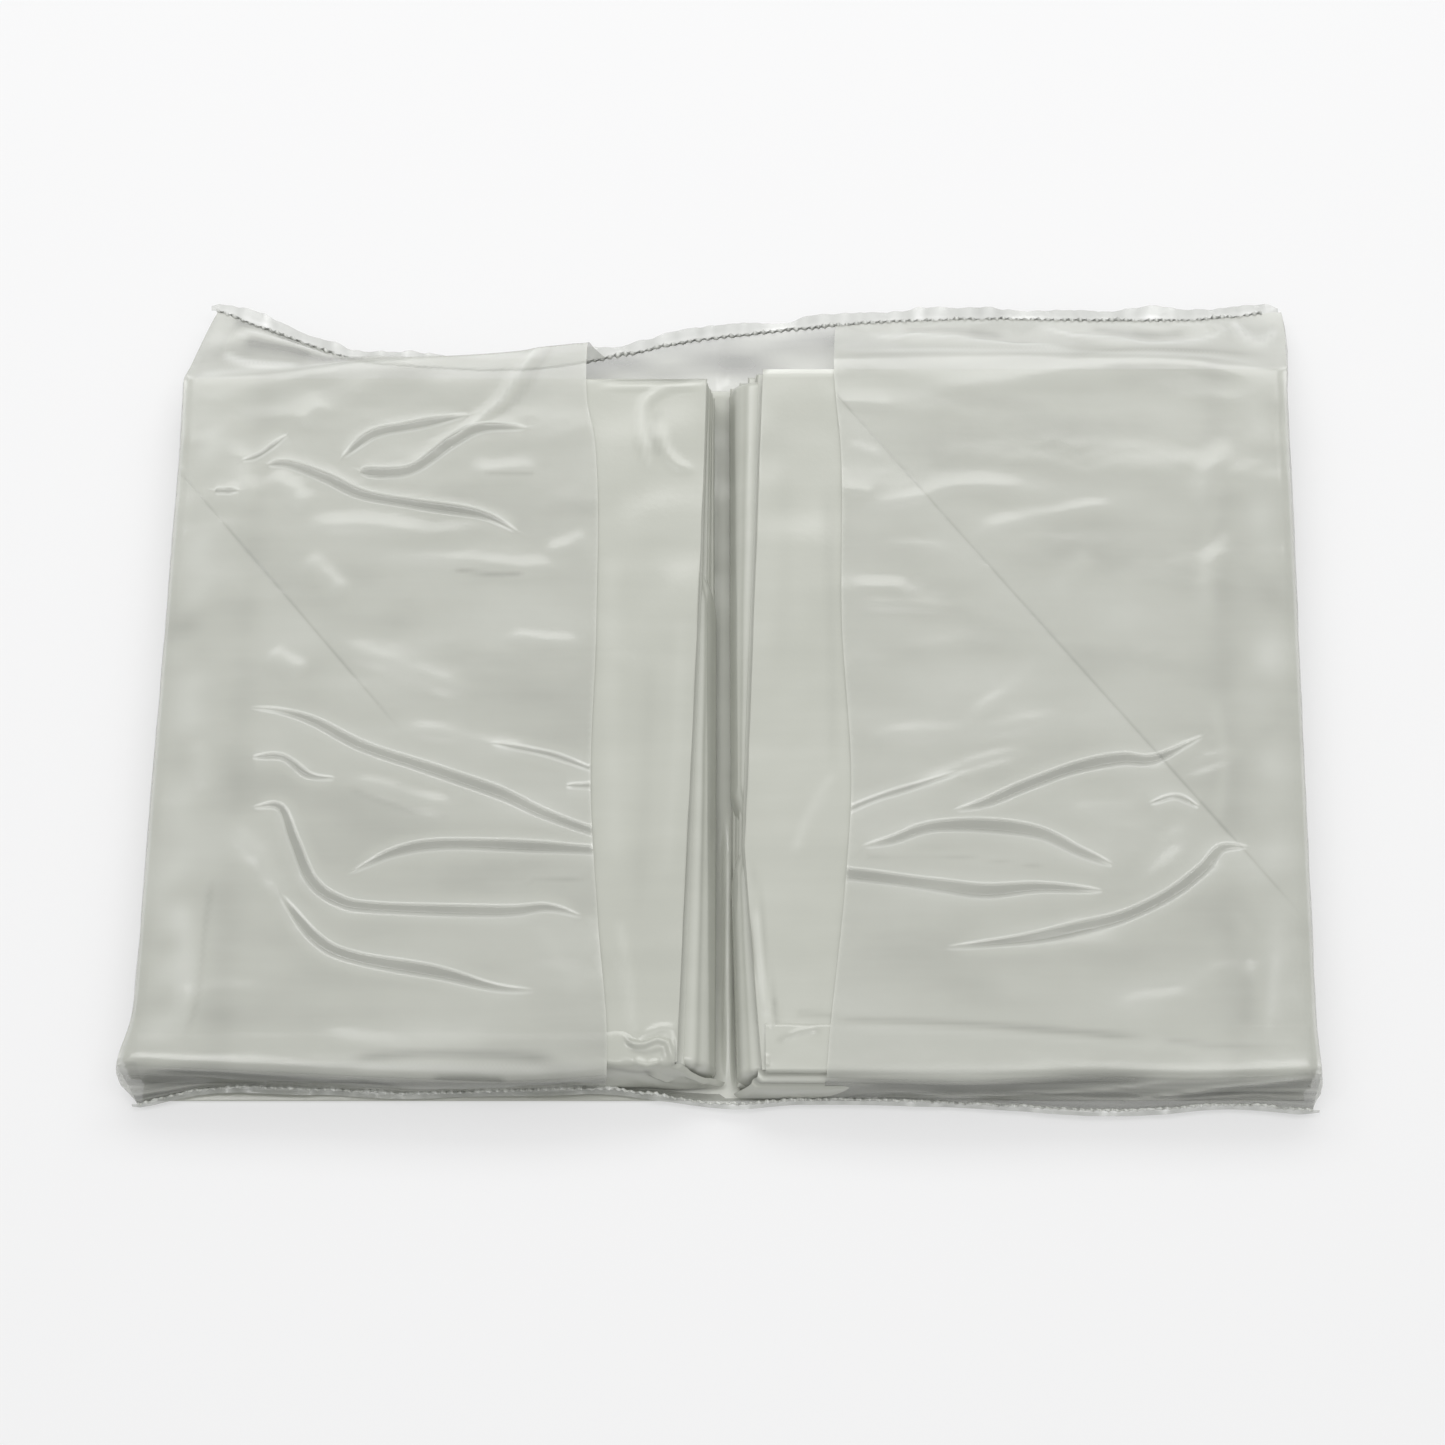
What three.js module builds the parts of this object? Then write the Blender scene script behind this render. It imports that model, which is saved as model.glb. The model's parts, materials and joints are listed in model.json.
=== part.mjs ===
// A flat pack of soft plastic film: one large sheet folded into two stacks side by side, in a film
// sleeve with a slit front. The stacks are joined only by the sheet's bottom ply and the sleeve's back,
// so the pack folds like a book at the channel between them, and each front flap lifts at its lip.
// Millimetres. X runs across the two stacks, Y from the near seal to the far seal, Z up from the back.

import * as THREE from 'three';

const GAP = 0.3;              // clearance between neighbouring panels
const FILM = 0.5;             // wall of a sleeve panel and of the sheet's bottom ply
const FOLD_X = -2;            // the book fold runs along Y at this X, level with the pack's back
const FOLD_CLEARANCE = 0.6;   // the flat panels stop this far from the fold plane
const LEAVES = 5;             // folded leaves in each stack
const LEAF_HEIGHT = 2.6;
const LEAF_PITCH = LEAF_HEIGHT + GAP;
const NOSE_STEPS = 4;         // facets round the rolled fold of a leaf
const SIDE_BULGE = 1.2;       // how far the sleeve's side wall swells at mid-height
const SIDE_STEPS = 6;

const PLY_Z = FILM + GAP;
const LEAF_Z = PLY_Z + FILM + GAP;
const STACK_TOP = LEAF_Z + (LEAVES - 1) * LEAF_PITCH + LEAF_HEIGHT;
const FLAP_Z = STACK_TOP + GAP;

const BEAD_RADIUS = 0.9;      // the trim seal's bead
const SKIRT = 0.4;            // thickness of the film left outside the bead
const FIN_EDGE = 0.5;         // half height of a fin where it meets the bead
const FIN_CLEARANCE = 8;      // the fins stop this far from the fold plane, and the seals
const SEAL_CLEARANCE = 2.8;   // this far, so that the halves can fold

// Each half of the pack. side is -1 for the left half and 1 for the right. ends holds Y at the stack's
// near and far ends, and outer the X of the stack's outer side at those ends. inner is the distance of
// the leaves' rolled folds from the fold plane at the near end, at the waist and at the far end, as
// [bottom leaf, top leaf]. lip is the free edge of the front flap as [x, y] points.
const HALVES = [
  {
    name: 'left', side: -1, ends: [-106, 89], outer: [-151.2, -147.7],
    inner: [[1.9, 11.5], [1.8, 8.9], [1.7, 4]],
    lip: [[-31.3, -106], [-34, -68], [-36.3, -34], [-35.5, 16], [-36.5, 68], [-39, 89]],
  },
  {
    name: 'right', side: 1, ends: [-108, 92], outer: [147.7, 151.2],
    inner: [[3.7, 10.3], [2.2, 5.6], [2, 11.3]],
    lip: [[24.3, -108], [29.8, -57], [31.5, -34], [29.7, 16], [30, 68], [28.5, 92]],
  },
];
const WAIST_Y = -47;          // where the right stack comes closest to the channel's middle

// The two trim seals: the bead's line as [x, y, z] points from left to right, and how far the skirt
// of film reaches past it. outward is the seal's direction away from the stacks.
const SEALS = [
  {
    name: 'far', outward: 1, skirt: 3.2,
    line: [[-142, 113.6, 8], [-124, 106, 8], [-106, 99.5, 7], [-80, 97, 6], [-56, 97, 5], [-31, 101, 5],
      [-6, 106, 6], [29, 110, 6], [66, 112, 6], [110, 111.5, 6], [132, 112, 6], [151, 113.6, 7]],
  },
  {
    name: 'near', outward: -1, skirt: 2.2,
    line: [[-151, -113, 3.2], [-138, -109.5, 3.2], [-108, -109, 3.2], [-84, -110, 3.2], [-50, -109.2, 3.2],
      [-31, -109, 3.2], [-16, -111, 3.2], [-2, -113, 3.2], [18, -111.8, 3.2], [43, -112, 3.2],
      [66, -113, 3.2], [104, -114.6, 3.2], [128, -113, 3.2], [149, -114.6, 3.2]],
  },
];

const MATERIALS = {
  sleeve: { color: 0xc8cac2, roughness: 0.22, metalness: 0 },
  sheet: { color: 0xbcbeb4, roughness: 0.3, metalness: 0 },
  seal: { color: 0xa9aba2, roughness: 0.4, metalness: 0 },
};

const pack = new THREE.Group();

function addPart(name, geometry, material) {
  const mesh = new THREE.Mesh(geometry, new THREE.MeshStandardMaterial(MATERIALS[material]));
  mesh.name = name;
  pack.add(mesh);
}

// The triangles of a flat cap over a ring, wound the way the ring runs. plane gives the two axes in
// which the ring shows its outline.
function capFaces(ring, plane) {
  const outline = ring.map((p) => new THREE.Vector2(p[plane[0]], p[plane[1]]));
  const clockwise = THREE.ShapeUtils.isClockWise(outline);
  return THREE.ShapeUtils.triangulateShape(outline, []).map(([a, b, c]) => {
    const turn = outline[b].clone().sub(outline[a]).cross(outline[c].clone().sub(outline[a]));
    return (turn < 0) === clockwise ? [a, b, c] : [a, c, b];
  });
}

// A closed solid through a row of equal closed rings of points, with a flat cap on each end ring.
function loft(rings, plane) {
  const size = rings[0].length;
  const last = (rings.length - 1) * size;
  const faces = [];
  for (let r = 0; r + 1 < rings.length; r += 1) {
    for (let i = 0; i < size; i += 1) {
      const a = r * size + i;
      const b = r * size + (i + 1) % size;
      faces.push([a, b, b + size], [a, b + size, a + size]);
    }
  }
  faces.push(...capFaces(rings[0], plane).map(([a, b, c]) => [c, b, a]));
  faces.push(...capFaces(rings.at(-1), plane).map((face) => face.map((i) => last + i)));
  const points = rings.flat().map((p) => new THREE.Vector3(...p));
  const volume = faces.reduce((sum, [a, b, c]) => (
    sum + points[a].dot(points[b].clone().cross(points[c]))), 0);
  const geometry = new THREE.BufferGeometry().setFromPoints(points);
  geometry.setIndex(faces.flatMap(([a, b, c]) => (volume < 0 ? [a, c, b] : [a, b, c])));
  geometry.computeVertexNormals();
  return geometry;
}

const ALONG_Y = [0, 2];
const ALONG_X = [1, 2];

// The value at t on the straight runs through [t, value] pairs, which are in rising order of t.
function between(pairs, t) {
  const next = Math.min(Math.max(pairs.filter(([at]) => at < t).length, 1), pairs.length - 1);
  const [t0, v0] = pairs[next - 1];
  const [t1, v1] = pairs[next];
  return THREE.MathUtils.lerp(v0, v1, (t - t0) / (t1 - t0));
}

function outerX(half, y) {
  return between([[half.ends[0], half.outer[0]], [half.ends[1], half.outer[1]]], y);
}

// A flat panel of the stack's length, from the fold plane to the stack's outer side.
function flatPanel(half, z, reach) {
  const inner = FOLD_X + half.side * FOLD_CLEARANCE;
  return loft(half.ends.map((y) => {
    const outer = outerX(half, y) + half.side * reach;
    return [[inner, y, z], [outer, y, z], [outer, y, z + FILM], [inner, y, z + FILM]];
  }), ALONG_Y);
}

// One leaf of the folded sheet: a slab with a half-round rolled fold on each long side.
function leaf(half, index) {
  const share = index / (LEAVES - 1);
  const radius = LEAF_HEIGHT / 2;
  const z = LEAF_Z + index * LEAF_PITCH + radius;
  const [near, waist, far] = half.inner.map(([bottom, top]) => THREE.MathUtils.lerp(bottom, top, share));
  return loft([[half.ends[0], near], [WAIST_Y, waist], [half.ends[1], far]].map(([y, inner]) => {
    const noses = [
      { x: FOLD_X + half.side * (inner + radius), side: -half.side },
      { x: outerX(half, y) - half.side * radius, side: half.side },
    ];
    return noses.flatMap((nose, n) => Array.from({ length: NOSE_STEPS + 1 }, (_, i) => {
      const turn = Math.PI * (i / NOSE_STEPS - 0.5) * (n === 0 ? 1 : -1);
      return [nose.x + nose.side * radius * Math.cos(turn), y, z + radius * Math.sin(turn)];
    }));
  }), ALONG_Y);
}

// The sleeve's side wall, a thin strip that swells outwards at mid-height.
function sideWall(half) {
  return loft(half.ends.map((y) => {
    const strip = (offset) => Array.from({ length: SIDE_STEPS + 1 }, (_, i) => {
      const up = i / SIDE_STEPS;
      const swell = SIDE_BULGE * Math.sin(Math.PI * up);
      return [outerX(half, y) + half.side * (GAP + offset + swell), y, PLY_Z + up * (STACK_TOP - PLY_Z)];
    });
    return [...strip(0), ...strip(FILM).reverse()];
  }), ALONG_Y);
}

// The sleeve's front panel, from the outer crease to its free lip.
function frontFlap(half) {
  return loft(half.lip.map(([lip, y]) => {
    const outer = outerX(half, y) + half.side * (GAP + FILM);
    return [[outer, y, FLAP_Z], [lip, y, FLAP_Z], [lip, y, FLAP_Z + FILM], [outer, y, FLAP_Z + FILM]];
  }), ALONG_Y);
}

// The stations along X at which one half's fin or seal is drawn: the seal's own points in that half,
// and one where it stops short of the fold plane.
function stations(half, seal, clearance) {
  const stop = FOLD_X + half.side * clearance;
  const xs = seal.line.map(([x]) => x).filter((x) => (x - stop) * half.side > 0);
  xs.push(stop);
  return xs.sort((a, b) => a - b).map((x) => ({
    x,
    y: between(seal.line.map((p) => [p[0], p[1]]), x),
    z: between(seal.line.map((p) => [p[0], p[2]]), x),
  }));
}

// The film past the end of a stack, closing from the stack's full height down to the seal's bead.
function fin(half, seal) {
  const root = half.ends[seal.outward < 0 ? 0 : 1] + seal.outward * GAP;
  return loft(stations(half, seal, FIN_CLEARANCE).map(({ x, y, z }) => {
    const tip = y - seal.outward * (BEAD_RADIUS + GAP);
    return [[x, root, PLY_Z], [x, tip, z - FIN_EDGE], [x, tip, z + FIN_EDGE], [x, root, STACK_TOP]];
  }), ALONG_X);
}

// The bead of the trim seal with the skirt of film outside it.
function trimSeal(half, seal) {
  const out = seal.outward;
  return loft(stations(half, seal, SEAL_CLEARANCE).map(({ x, y, z }) => {
    const bead = [0.25, 0.5, 0.75, 1, 1.25, 1.5, 1.75].map((turn) => [
      x,
      y + out * BEAD_RADIUS * Math.cos(Math.PI * turn),
      z + BEAD_RADIUS * Math.sin(Math.PI * turn),
    ]);
    const root = y + out * BEAD_RADIUS;
    const edge = root + out * seal.skirt;
    return [[x, root, z - SKIRT / 2], [x, edge, z - SKIRT / 2], [x, edge, z + SKIRT / 2],
      [x, root, z + SKIRT / 2], ...bead];
  }), ALONG_X);
}

for (const half of HALVES) {
  addPart(`${half.name}_sleeve_back`, flatPanel(half, 0, GAP + FILM), 'sleeve');
  addPart(`${half.name}_sleeve_side`, sideWall(half), 'sleeve');
  addPart(`${half.name}_front_flap`, frontFlap(half), 'sleeve');
  addPart(`${half.name}_bottom_ply`, flatPanel(half, PLY_Z, -GAP), 'sheet');
  for (let index = 0; index < LEAVES; index += 1) {
    addPart(`${half.name}_leaf_${index + 1}`, leaf(half, index), 'sheet');
  }
  for (const seal of SEALS) {
    addPart(`${half.name}_${seal.name}_fin`, fin(half, seal), 'sleeve');
    addPart(`${half.name}_${seal.name}_seal`, trimSeal(half, seal), 'seal');
  }
}

export default pack;
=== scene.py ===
"""A folded pack of soft plastic film in a slit-front sleeve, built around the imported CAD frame.

Sculpting is done in millimetres and turned into metres as each mesh is made. A point of the sleeve is
first placed on the flat film as (s, t), where s is its X and t its Y on the flat front, and then carried
to its place in the air: over the stacks' shoulders and down to the seals' beads.
"""
import json
import math

import bpy
import numpy as np
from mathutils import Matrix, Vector
from mathutils.geometry import delaunay_2d_cdt


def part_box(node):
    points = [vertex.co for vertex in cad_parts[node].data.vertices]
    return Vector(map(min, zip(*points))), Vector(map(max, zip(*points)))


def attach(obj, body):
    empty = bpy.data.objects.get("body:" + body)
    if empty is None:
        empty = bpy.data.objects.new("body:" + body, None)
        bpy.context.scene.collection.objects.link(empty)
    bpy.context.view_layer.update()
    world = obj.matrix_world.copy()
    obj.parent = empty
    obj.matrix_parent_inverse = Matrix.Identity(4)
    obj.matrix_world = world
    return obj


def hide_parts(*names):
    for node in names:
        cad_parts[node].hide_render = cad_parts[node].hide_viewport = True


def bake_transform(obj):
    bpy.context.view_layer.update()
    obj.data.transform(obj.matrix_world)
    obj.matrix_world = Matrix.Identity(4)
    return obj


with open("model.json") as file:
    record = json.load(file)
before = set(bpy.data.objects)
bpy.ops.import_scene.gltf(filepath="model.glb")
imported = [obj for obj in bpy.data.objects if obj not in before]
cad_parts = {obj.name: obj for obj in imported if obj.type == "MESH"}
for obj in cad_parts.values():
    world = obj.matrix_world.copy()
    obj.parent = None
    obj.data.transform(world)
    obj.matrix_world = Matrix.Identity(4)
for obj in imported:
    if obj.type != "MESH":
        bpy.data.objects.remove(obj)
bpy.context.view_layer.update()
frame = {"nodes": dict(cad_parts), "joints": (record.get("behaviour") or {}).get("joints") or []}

MM = 0.001
HALVES = {"left": -1, "right": 1}        # each half's side of the fold along X

JOINTS = {j["name"]: j for j in frame["joints"]}
FOLD_X = JOINTS["book_fold"]["pos_m"][0] / MM
FLAP_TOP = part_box("left_front_flap")[1].z / MM
LEAVES = 5

FILM_Z = FLAP_TOP - 0.1       # the front film's level, a little above the sheet it lies on
BACK_Z = 0.15                 # the back film's level
BEAD_RADIUS = 0.9             # the radius of the CAD's bead
BEAD_GRIP = 0.1               # the front and the back film meet the bead this far over and under its middle
FIN_RUN = 14.0                # length in t of the film from a stack's shoulder to the bead
SHOULDER_RUN = 8.0            # the last stretch of the flat front, which the shoulder's line pulls out
SEAM_T = -8.5                 # each front film is two pieces that meet at this t


# ---------------------------------------------------------------- curves and small maths

def smooth(low, high, x):
    t = np.clip((np.asarray(x, float) - low) / (high - low), 0.0, 1.0)
    return t * t * (3 - 2 * t)


def curve(points):
    """y over x through the points, in rising order of x, straight between them and level past them."""
    xs, ys = zip(*points)
    return lambda x: np.interp(x, xs, ys)


def soft_curve(points):
    """As curve, but rounded: a cubic between each two points, with slopes taken from their neighbours."""
    xs, ys = (np.array(v, float) for v in zip(*points))

    def at(x):
        x = np.clip(np.asarray(x, float), xs[0], xs[-1])
        i = np.clip(np.searchsorted(xs, x) - 1, 0, len(xs) - 2)
        slope = np.gradient(ys, xs)
        run = xs[i + 1] - xs[i]
        u = (x - xs[i]) / run
        h00, h10 = (1 + 2 * u) * (1 - u) ** 2, u * (1 - u) ** 2
        h01, h11 = u * u * (3 - 2 * u), u * u * (u - 1)
        return h00 * ys[i] + h10 * run * slope[i] + h01 * ys[i + 1] + h11 * run * slope[i + 1]
    return at


def through(points, step=0.6):
    """A Catmull-Rom line through the points, as points about step apart."""
    p = np.array(points, float)
    p = np.vstack([2 * p[0] - p[1], p, 2 * p[-1] - p[-2]])
    line = []
    for a, b, c, d in zip(p, p[1:], p[2:], p[3:]):
        for u in np.linspace(0, 1, max(2, int(np.linalg.norm(c - b) / step) + 1))[:-1]:
            line.append(0.5 * (2 * b + (c - a) * u + (2 * a - 5 * b + 4 * c - d) * u * u
                               + (3 * b - a - 3 * c + d) * u ** 3))
    line.append(p[-2])
    return np.array(line)


def bezier(p0, p1, p2, p3, u):
    v = 1 - u
    return v ** 3 * p0 + 3 * v * v * u * p1 + 3 * v * u * u * p2 + u ** 3 * p3


def ripples(seed, count, wavelengths, lean, amplitude):
    """A smooth random height over (x, y): a sum of sines. lean says how strongly they line up along X."""
    rng = np.random.default_rng(seed)
    lengths = np.exp(rng.uniform(np.log(wavelengths[0]), np.log(wavelengths[1]), count))
    turns = rng.uniform(-1, 1, count) * math.pi / 2 * (1 - lean)
    kx, ky = np.sin(turns) / lengths * 2 * math.pi, np.cos(turns) / lengths * 2 * math.pi
    phases = rng.uniform(0, 2 * math.pi, count)
    size = amplitude * (lengths / wavelengths[1]) * math.sqrt(2 / count)

    def at(x, y):
        total = np.zeros(np.shape(x))
        for k, q, p, a in zip(kx, ky, phases, size):
            total = total + a * np.sin(k * x + q * y + p)
        return total
    return at


# ---------------------------------------------------------------- materials

def node_material(name):
    material = bpy.data.materials.new(name)
    material.use_nodes = True
    tree = material.node_tree
    return material, tree, tree.nodes["Principled BSDF"]


def feed(tree, node, inputs):
    """Fills a node's sockets, by name or number, with values or with links from other nodes' outputs."""
    for key, value in inputs.items():
        if isinstance(value, bpy.types.NodeSocket):
            tree.links.new(value, node.inputs[key])
        else:
            node.inputs[key].default_value = value


def add_node(tree, kind, output, inputs, **settings):
    """Adds a node and gives the named output of it."""
    node = tree.nodes.new(kind)
    for key, value in settings.items():
        setattr(node, key, value)
    feed(tree, node, inputs)
    return node.outputs[output]


def noise(tree, place, scale, detail, roughness):
    inputs = {"Vector": place, "Scale": scale, "Detail": detail, "Roughness": roughness}
    return add_node(tree, "ShaderNodeTexNoise", "Fac", inputs)


def multiply_add(tree, value, factor, addend):
    inputs = {0: value, 1: factor, 2: addend}
    return add_node(tree, "ShaderNodeMath", "Value", inputs, operation="MULTIPLY_ADD")


def map_range(tree, value, source, target, **settings):
    inputs = {"Value": value, "From Min": source[0], "From Max": source[1],
              "To Min": target[0], "To Max": target[1]}
    return add_node(tree, "ShaderNodeMapRange", "Result", inputs, **settings)


def tone_ramp(tree, level, colours):
    """The film's colour: dark, usual and light tones at 0, 0.5 and 1, the ends giving painted shade and
    highlights.
    """
    colour = add_node(tree, "ShaderNodeValToRGB", "Color", {"Fac": level})
    elements = colour.node.color_ramp.elements
    elements.new(0.5)
    for element, tone in zip(elements, colours):
        element.color = (*tone, 1)
    return colour


STREAK_SCALE = (12, 110, 60)  # the streaks run along X
GRAIN_DEPTH = 0.0002          # in metres
FILM_IOR = 1.5


def film_material(name, colours, alpha, roughness, streak=0.5, uneven=0.24, grain=0.1):
    """Soft plastic film. The mesh's tone attribute, which carries painted highlights and painted shade,
    picks between its colours, with clouds and faint streaks on top. The gloss is uneven and the surface
    finely grained."""
    material, tree, shader = node_material(name)
    place = add_node(tree, "ShaderNodeTexCoord", "Object", {})
    stretch = add_node(tree, "ShaderNodeMapping", "Vector", {"Vector": place, "Scale": STREAK_SCALE})
    streaks = noise(tree, stretch, 1.0, 4.0, 0.55)
    clouds = noise(tree, place, 30.0, 3.0, 0.5)
    both = add_node(tree, "ShaderNodeMix", "Result", {"Factor": streak, "A": clouds, "B": streaks},
                    data_type="FLOAT")
    spread = multiply_add(tree, both, uneven, 0.5 - uneven / 2)
    tone = add_node(tree, "ShaderNodeAttribute", "Fac", {}, attribute_name="tone")
    level = multiply_add(tree, tone, 0.5, spread)
    colour = tone_ramp(tree, level, colours)
    gloss = map_range(tree, clouds, (0.3, 0.7), (roughness * 0.8, roughness * 1.25))
    fine = noise(tree, place, 700.0, 2.0, 0.5)
    bump = add_node(tree, "ShaderNodeBump", "Normal",
                    {"Strength": grain, "Distance": GRAIN_DEPTH, "Height": fine})
    feed(tree, shader, {"Base Color": colour, "Roughness": gloss, "Normal": bump, "Alpha": alpha,
                        "IOR": FILM_IOR, "Specular IOR Level": 1.0 if alpha < 1 else 0.6})
    return material


# Each material's dark, usual and light colours: the tone attribute's painted shade and painted highlights
# reach for the dark and the light one.
SLEEVE_TONES = (0.13, 0.135, 0.12), (0.605, 0.615, 0.561), (0.90, 0.91, 0.87)
SHEET_TONES = (0.22, 0.225, 0.197), (0.459, 0.469, 0.418), (0.74, 0.75, 0.70)
FAR_BEAD_TONES = (0.08, 0.083, 0.075), (0.27, 0.275, 0.255), (0.62, 0.63, 0.60)
NEAR_BEAD_TONES = (0.22, 0.225, 0.205), (0.55, 0.56, 0.52), (0.85, 0.86, 0.83)
SKIRT_TONES = (0.40, 0.41, 0.38), (0.62, 0.63, 0.60), (0.93, 0.93, 0.92)

SLEEVE = film_material("sleeve_film", SLEEVE_TONES, 0.55, 0.19)
SHEET = film_material("sheet_film", SHEET_TONES, 1.0, 0.21)
BEADS = {
    "far": film_material("far_bead", FAR_BEAD_TONES, 1.0, 0.4, 0.2, 0.4, 0.5),
    "near": film_material("near_bead", NEAR_BEAD_TONES, 1.0, 0.36, 0.2, 0.4, 0.5),
}
SKIRT = film_material("seal_skirt", SKIRT_TONES, 0.7, 0.2, 0.2, 0.5, 0.3)


# ---------------------------------------------------------------- meshes

def mesh_object(name, points, faces, material, tone=None):
    """A smooth mesh object from points in millimetres, in a list or a grid, with a tone at each."""
    points = np.asarray(points, float).reshape(-1, 3)
    tone = np.zeros(len(points)) if tone is None else np.asarray(tone).ravel()
    mesh = bpy.data.meshes.new(name)
    mesh.from_pydata((points * MM).tolist(), [], [list(map(int, f)) for f in faces])
    mesh.polygons.foreach_set("use_smooth", [True] * len(mesh.polygons))
    mesh.materials.append(material)
    mesh.attributes.new("tone", "FLOAT", "POINT").data.foreach_set("value", tone.astype(np.float32))
    obj = bpy.data.objects.new(name, mesh)
    bpy.context.scene.collection.objects.link(obj)
    return obj


def grid_faces(rows, columns, flip=False, closed=False):
    """Quads over a grid of points stored row by row. closed joins the last column to the first."""
    across = columns if closed else columns - 1
    faces = []
    for r in range(rows - 1):
        for c in range(across):
            a, b = r * columns + c, r * columns + (c + 1) % columns
            quad = (a, b, b + columns, a + columns)
            faces.append(quad[::-1] if flip else quad)
    return faces


def label_piece(nodes):
    if nodes:
        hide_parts(*nodes)


def finish_piece(obj, half, slot, *nodes):
    """A piece that rides on one half."""
    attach(obj, f"{half}_half")
    label_piece(nodes)


def bend_piece(obj, bodies, start, end, slot, *nodes):
    """Bakes a piece's transform into its mesh and hides the CAD nodes it stands for."""
    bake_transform(obj)
    label_piece(nodes)


def fold_piece(obj, reach, slot, *nodes):
    """A piece that crosses the book fold: its transform is baked and the CAD nodes it stands for are hidden.
    """
    bend_piece(obj, ("left_half", "right_half"), (FOLD_X - reach, 0, 0), (FOLD_X + reach, 0, 0), slot, *nodes)


# ---------------------------------------------------------------- lines taken from the CAD frame

def node_points(node):
    return np.array([v.co for v in frame["nodes"][node].data.vertices], float) / MM


def crease_x(side, t):
    """X of the outer crease, which is the flap's hinge line, at Y of t."""
    joint = JOINTS["left_flap_lift" if side < 0 else "right_flap_lift"]
    (x, y, _), (dx, dy, _) = joint["pos_m"], joint["axis"]
    return x / MM + (np.asarray(t, float) - y / MM) * dx / dy


def middle_z(node):
    low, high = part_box(node)
    return (low.z + high.z) / 2 / MM


def edge_points(node, side):
    """The X furthest to one side of a node at each Y of the rings it was lofted through, as (y, x)."""
    p = node_points(node)
    rings = sorted({round(y, 1) for y in p[:, 1]})
    return [(y, (p[np.abs(p[:, 1] - y) < 0.2, 0] * side).max() * side) for y in rings]


def edge_line(node, side):
    return curve(edge_points(node, side))


def bead_lines(end, outward):
    """Y and Z of a seal's bead as curves over X, from both halves of the seal."""
    p = np.vstack([node_points(f"{half}_{end}_seal") for half in HALVES])
    rows = []
    for x in sorted({round(x, 1) for x in p[:, 0]}):
        ring = p[np.abs(p[:, 0] - x) < 0.2]
        rows.append((x, (ring[:, 1] * outward).min() * outward + BEAD_RADIUS * outward, ring[:, 2].mean()))
    tips = rows[0][0], rows[-1][0]
    return soft_curve([(x, y) for x, y, _ in rows]), soft_curve([(x, z) for x, _, z in rows]), tips


# Each end of the sleeve: which way it points, how much the fin's front film sags, how far and how suddenly
# the front dips at the shoulder, and the angle at which it leaves it. bead holds a bead's radius, the height
# of its lumps and the tone of their painted light and shade, how far it stops short on the right and its
# seed, and skirt holds the width of the strip outside it, its rise, its tone and its seed.
ENDS = {
    "far": {
        "outward": 1, "sag": 2.2, "drop": 0.35, "drop_power": 6, "lean": 24,
        "bead": {"radius": 0.5, "lump": 0.18, "tone": 0.7, "short": 3.0, "seed": 7},
        "skirt": {"width": 3.3, "lift": 0.4, "tone": -0.5, "seed": 17},
    },
    "near": {
        "outward": -1, "sag": 0.6, "drop": 0.8, "drop_power": 7, "lean": 52,
        "bead": {"radius": 0.4, "lump": 0.07, "tone": 0.3, "short": 0.0, "seed": 8},
        "skirt": {"width": 1.4, "lift": -0.5, "tone": -0.7, "seed": 18},
    },
}
for name, end in ENDS.items():
    end["bead_y"], end["bead_z"], end["tips"] = bead_lines(name, end["outward"])

# Where the film leaves the stacks' tops, as Y over X.
SHOULDERS = {
    ("left", "far"): soft_curve([(-150, 88.5), (-123, 90.5), (-100, 93.5), (-78, 95), (-60, 96.5),
                                 (-38, 99.5)]),
    ("right", "far"): soft_curve([(28, 94.5), (60, 95.5), (100, 95.5), (130, 94), (152, 91)]),
    ("left", "near"): soft_curve([(-152, -106), (-137, -107), (-110, -108.4), (-76, -110), (-56, -110.6),
                                  (-30, -109)]),
    ("right", "near"): soft_curve([(24, -109.5), (60, -110.5), (90, -109), (115, -110), (150, -108.5)]),
}
# Where the sleeve's sides stand out at the corners: t, half length, amount.
FLARES = {
    "left": [(-106, 9, 3.2), (90, 12, 0.6)],
    "right": [(-108, 8, 0.9), (104, 9, 2.2)],
}


def flare(half, t):
    return sum(amount * np.exp(-((t - at) / reach) ** 2) for at, reach, amount in FLARES[half])


def stack_end(half, end):
    low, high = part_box(f"{half}_leaf_5")
    return (high.y if end == "far" else low.y) / MM


LIP_TAILS = {"left": 5, "right": 1}      # how far in X a lip drifts on its way over the far fin


def lip_line(half):
    """X of a flap's free lip as a curve over t, running on past the stack's ends to the bead."""
    line = edge_points(f"{half}_front_flap", -HALVES[half])
    (near_y, near_x), (far_y, far_x) = line[0], line[-1]
    return soft_curve([(near_y - FIN_RUN, near_x - 1), *line, (far_y + FIN_RUN, far_x + LIP_TAILS[half])])


# ---------------------------------------------------------------- the sleeve's surface

def fin_share(half, end, t):
    """How far t is along the film from the shoulder, 0, to the bead, 1."""
    out = ENDS[end]["outward"]
    return np.clip((np.asarray(t, float) - stack_end(half, end)) * out / FIN_RUN, 0, 1)


CREASE_DROP, CREASE_ROUND = 0.7, 5       # how far and how far in the front film dips at the outer crease
FLARE_REACH, TIP_REACH = 24, 22          # how far in from the crease a flare and a seal's tip pull the film


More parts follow.
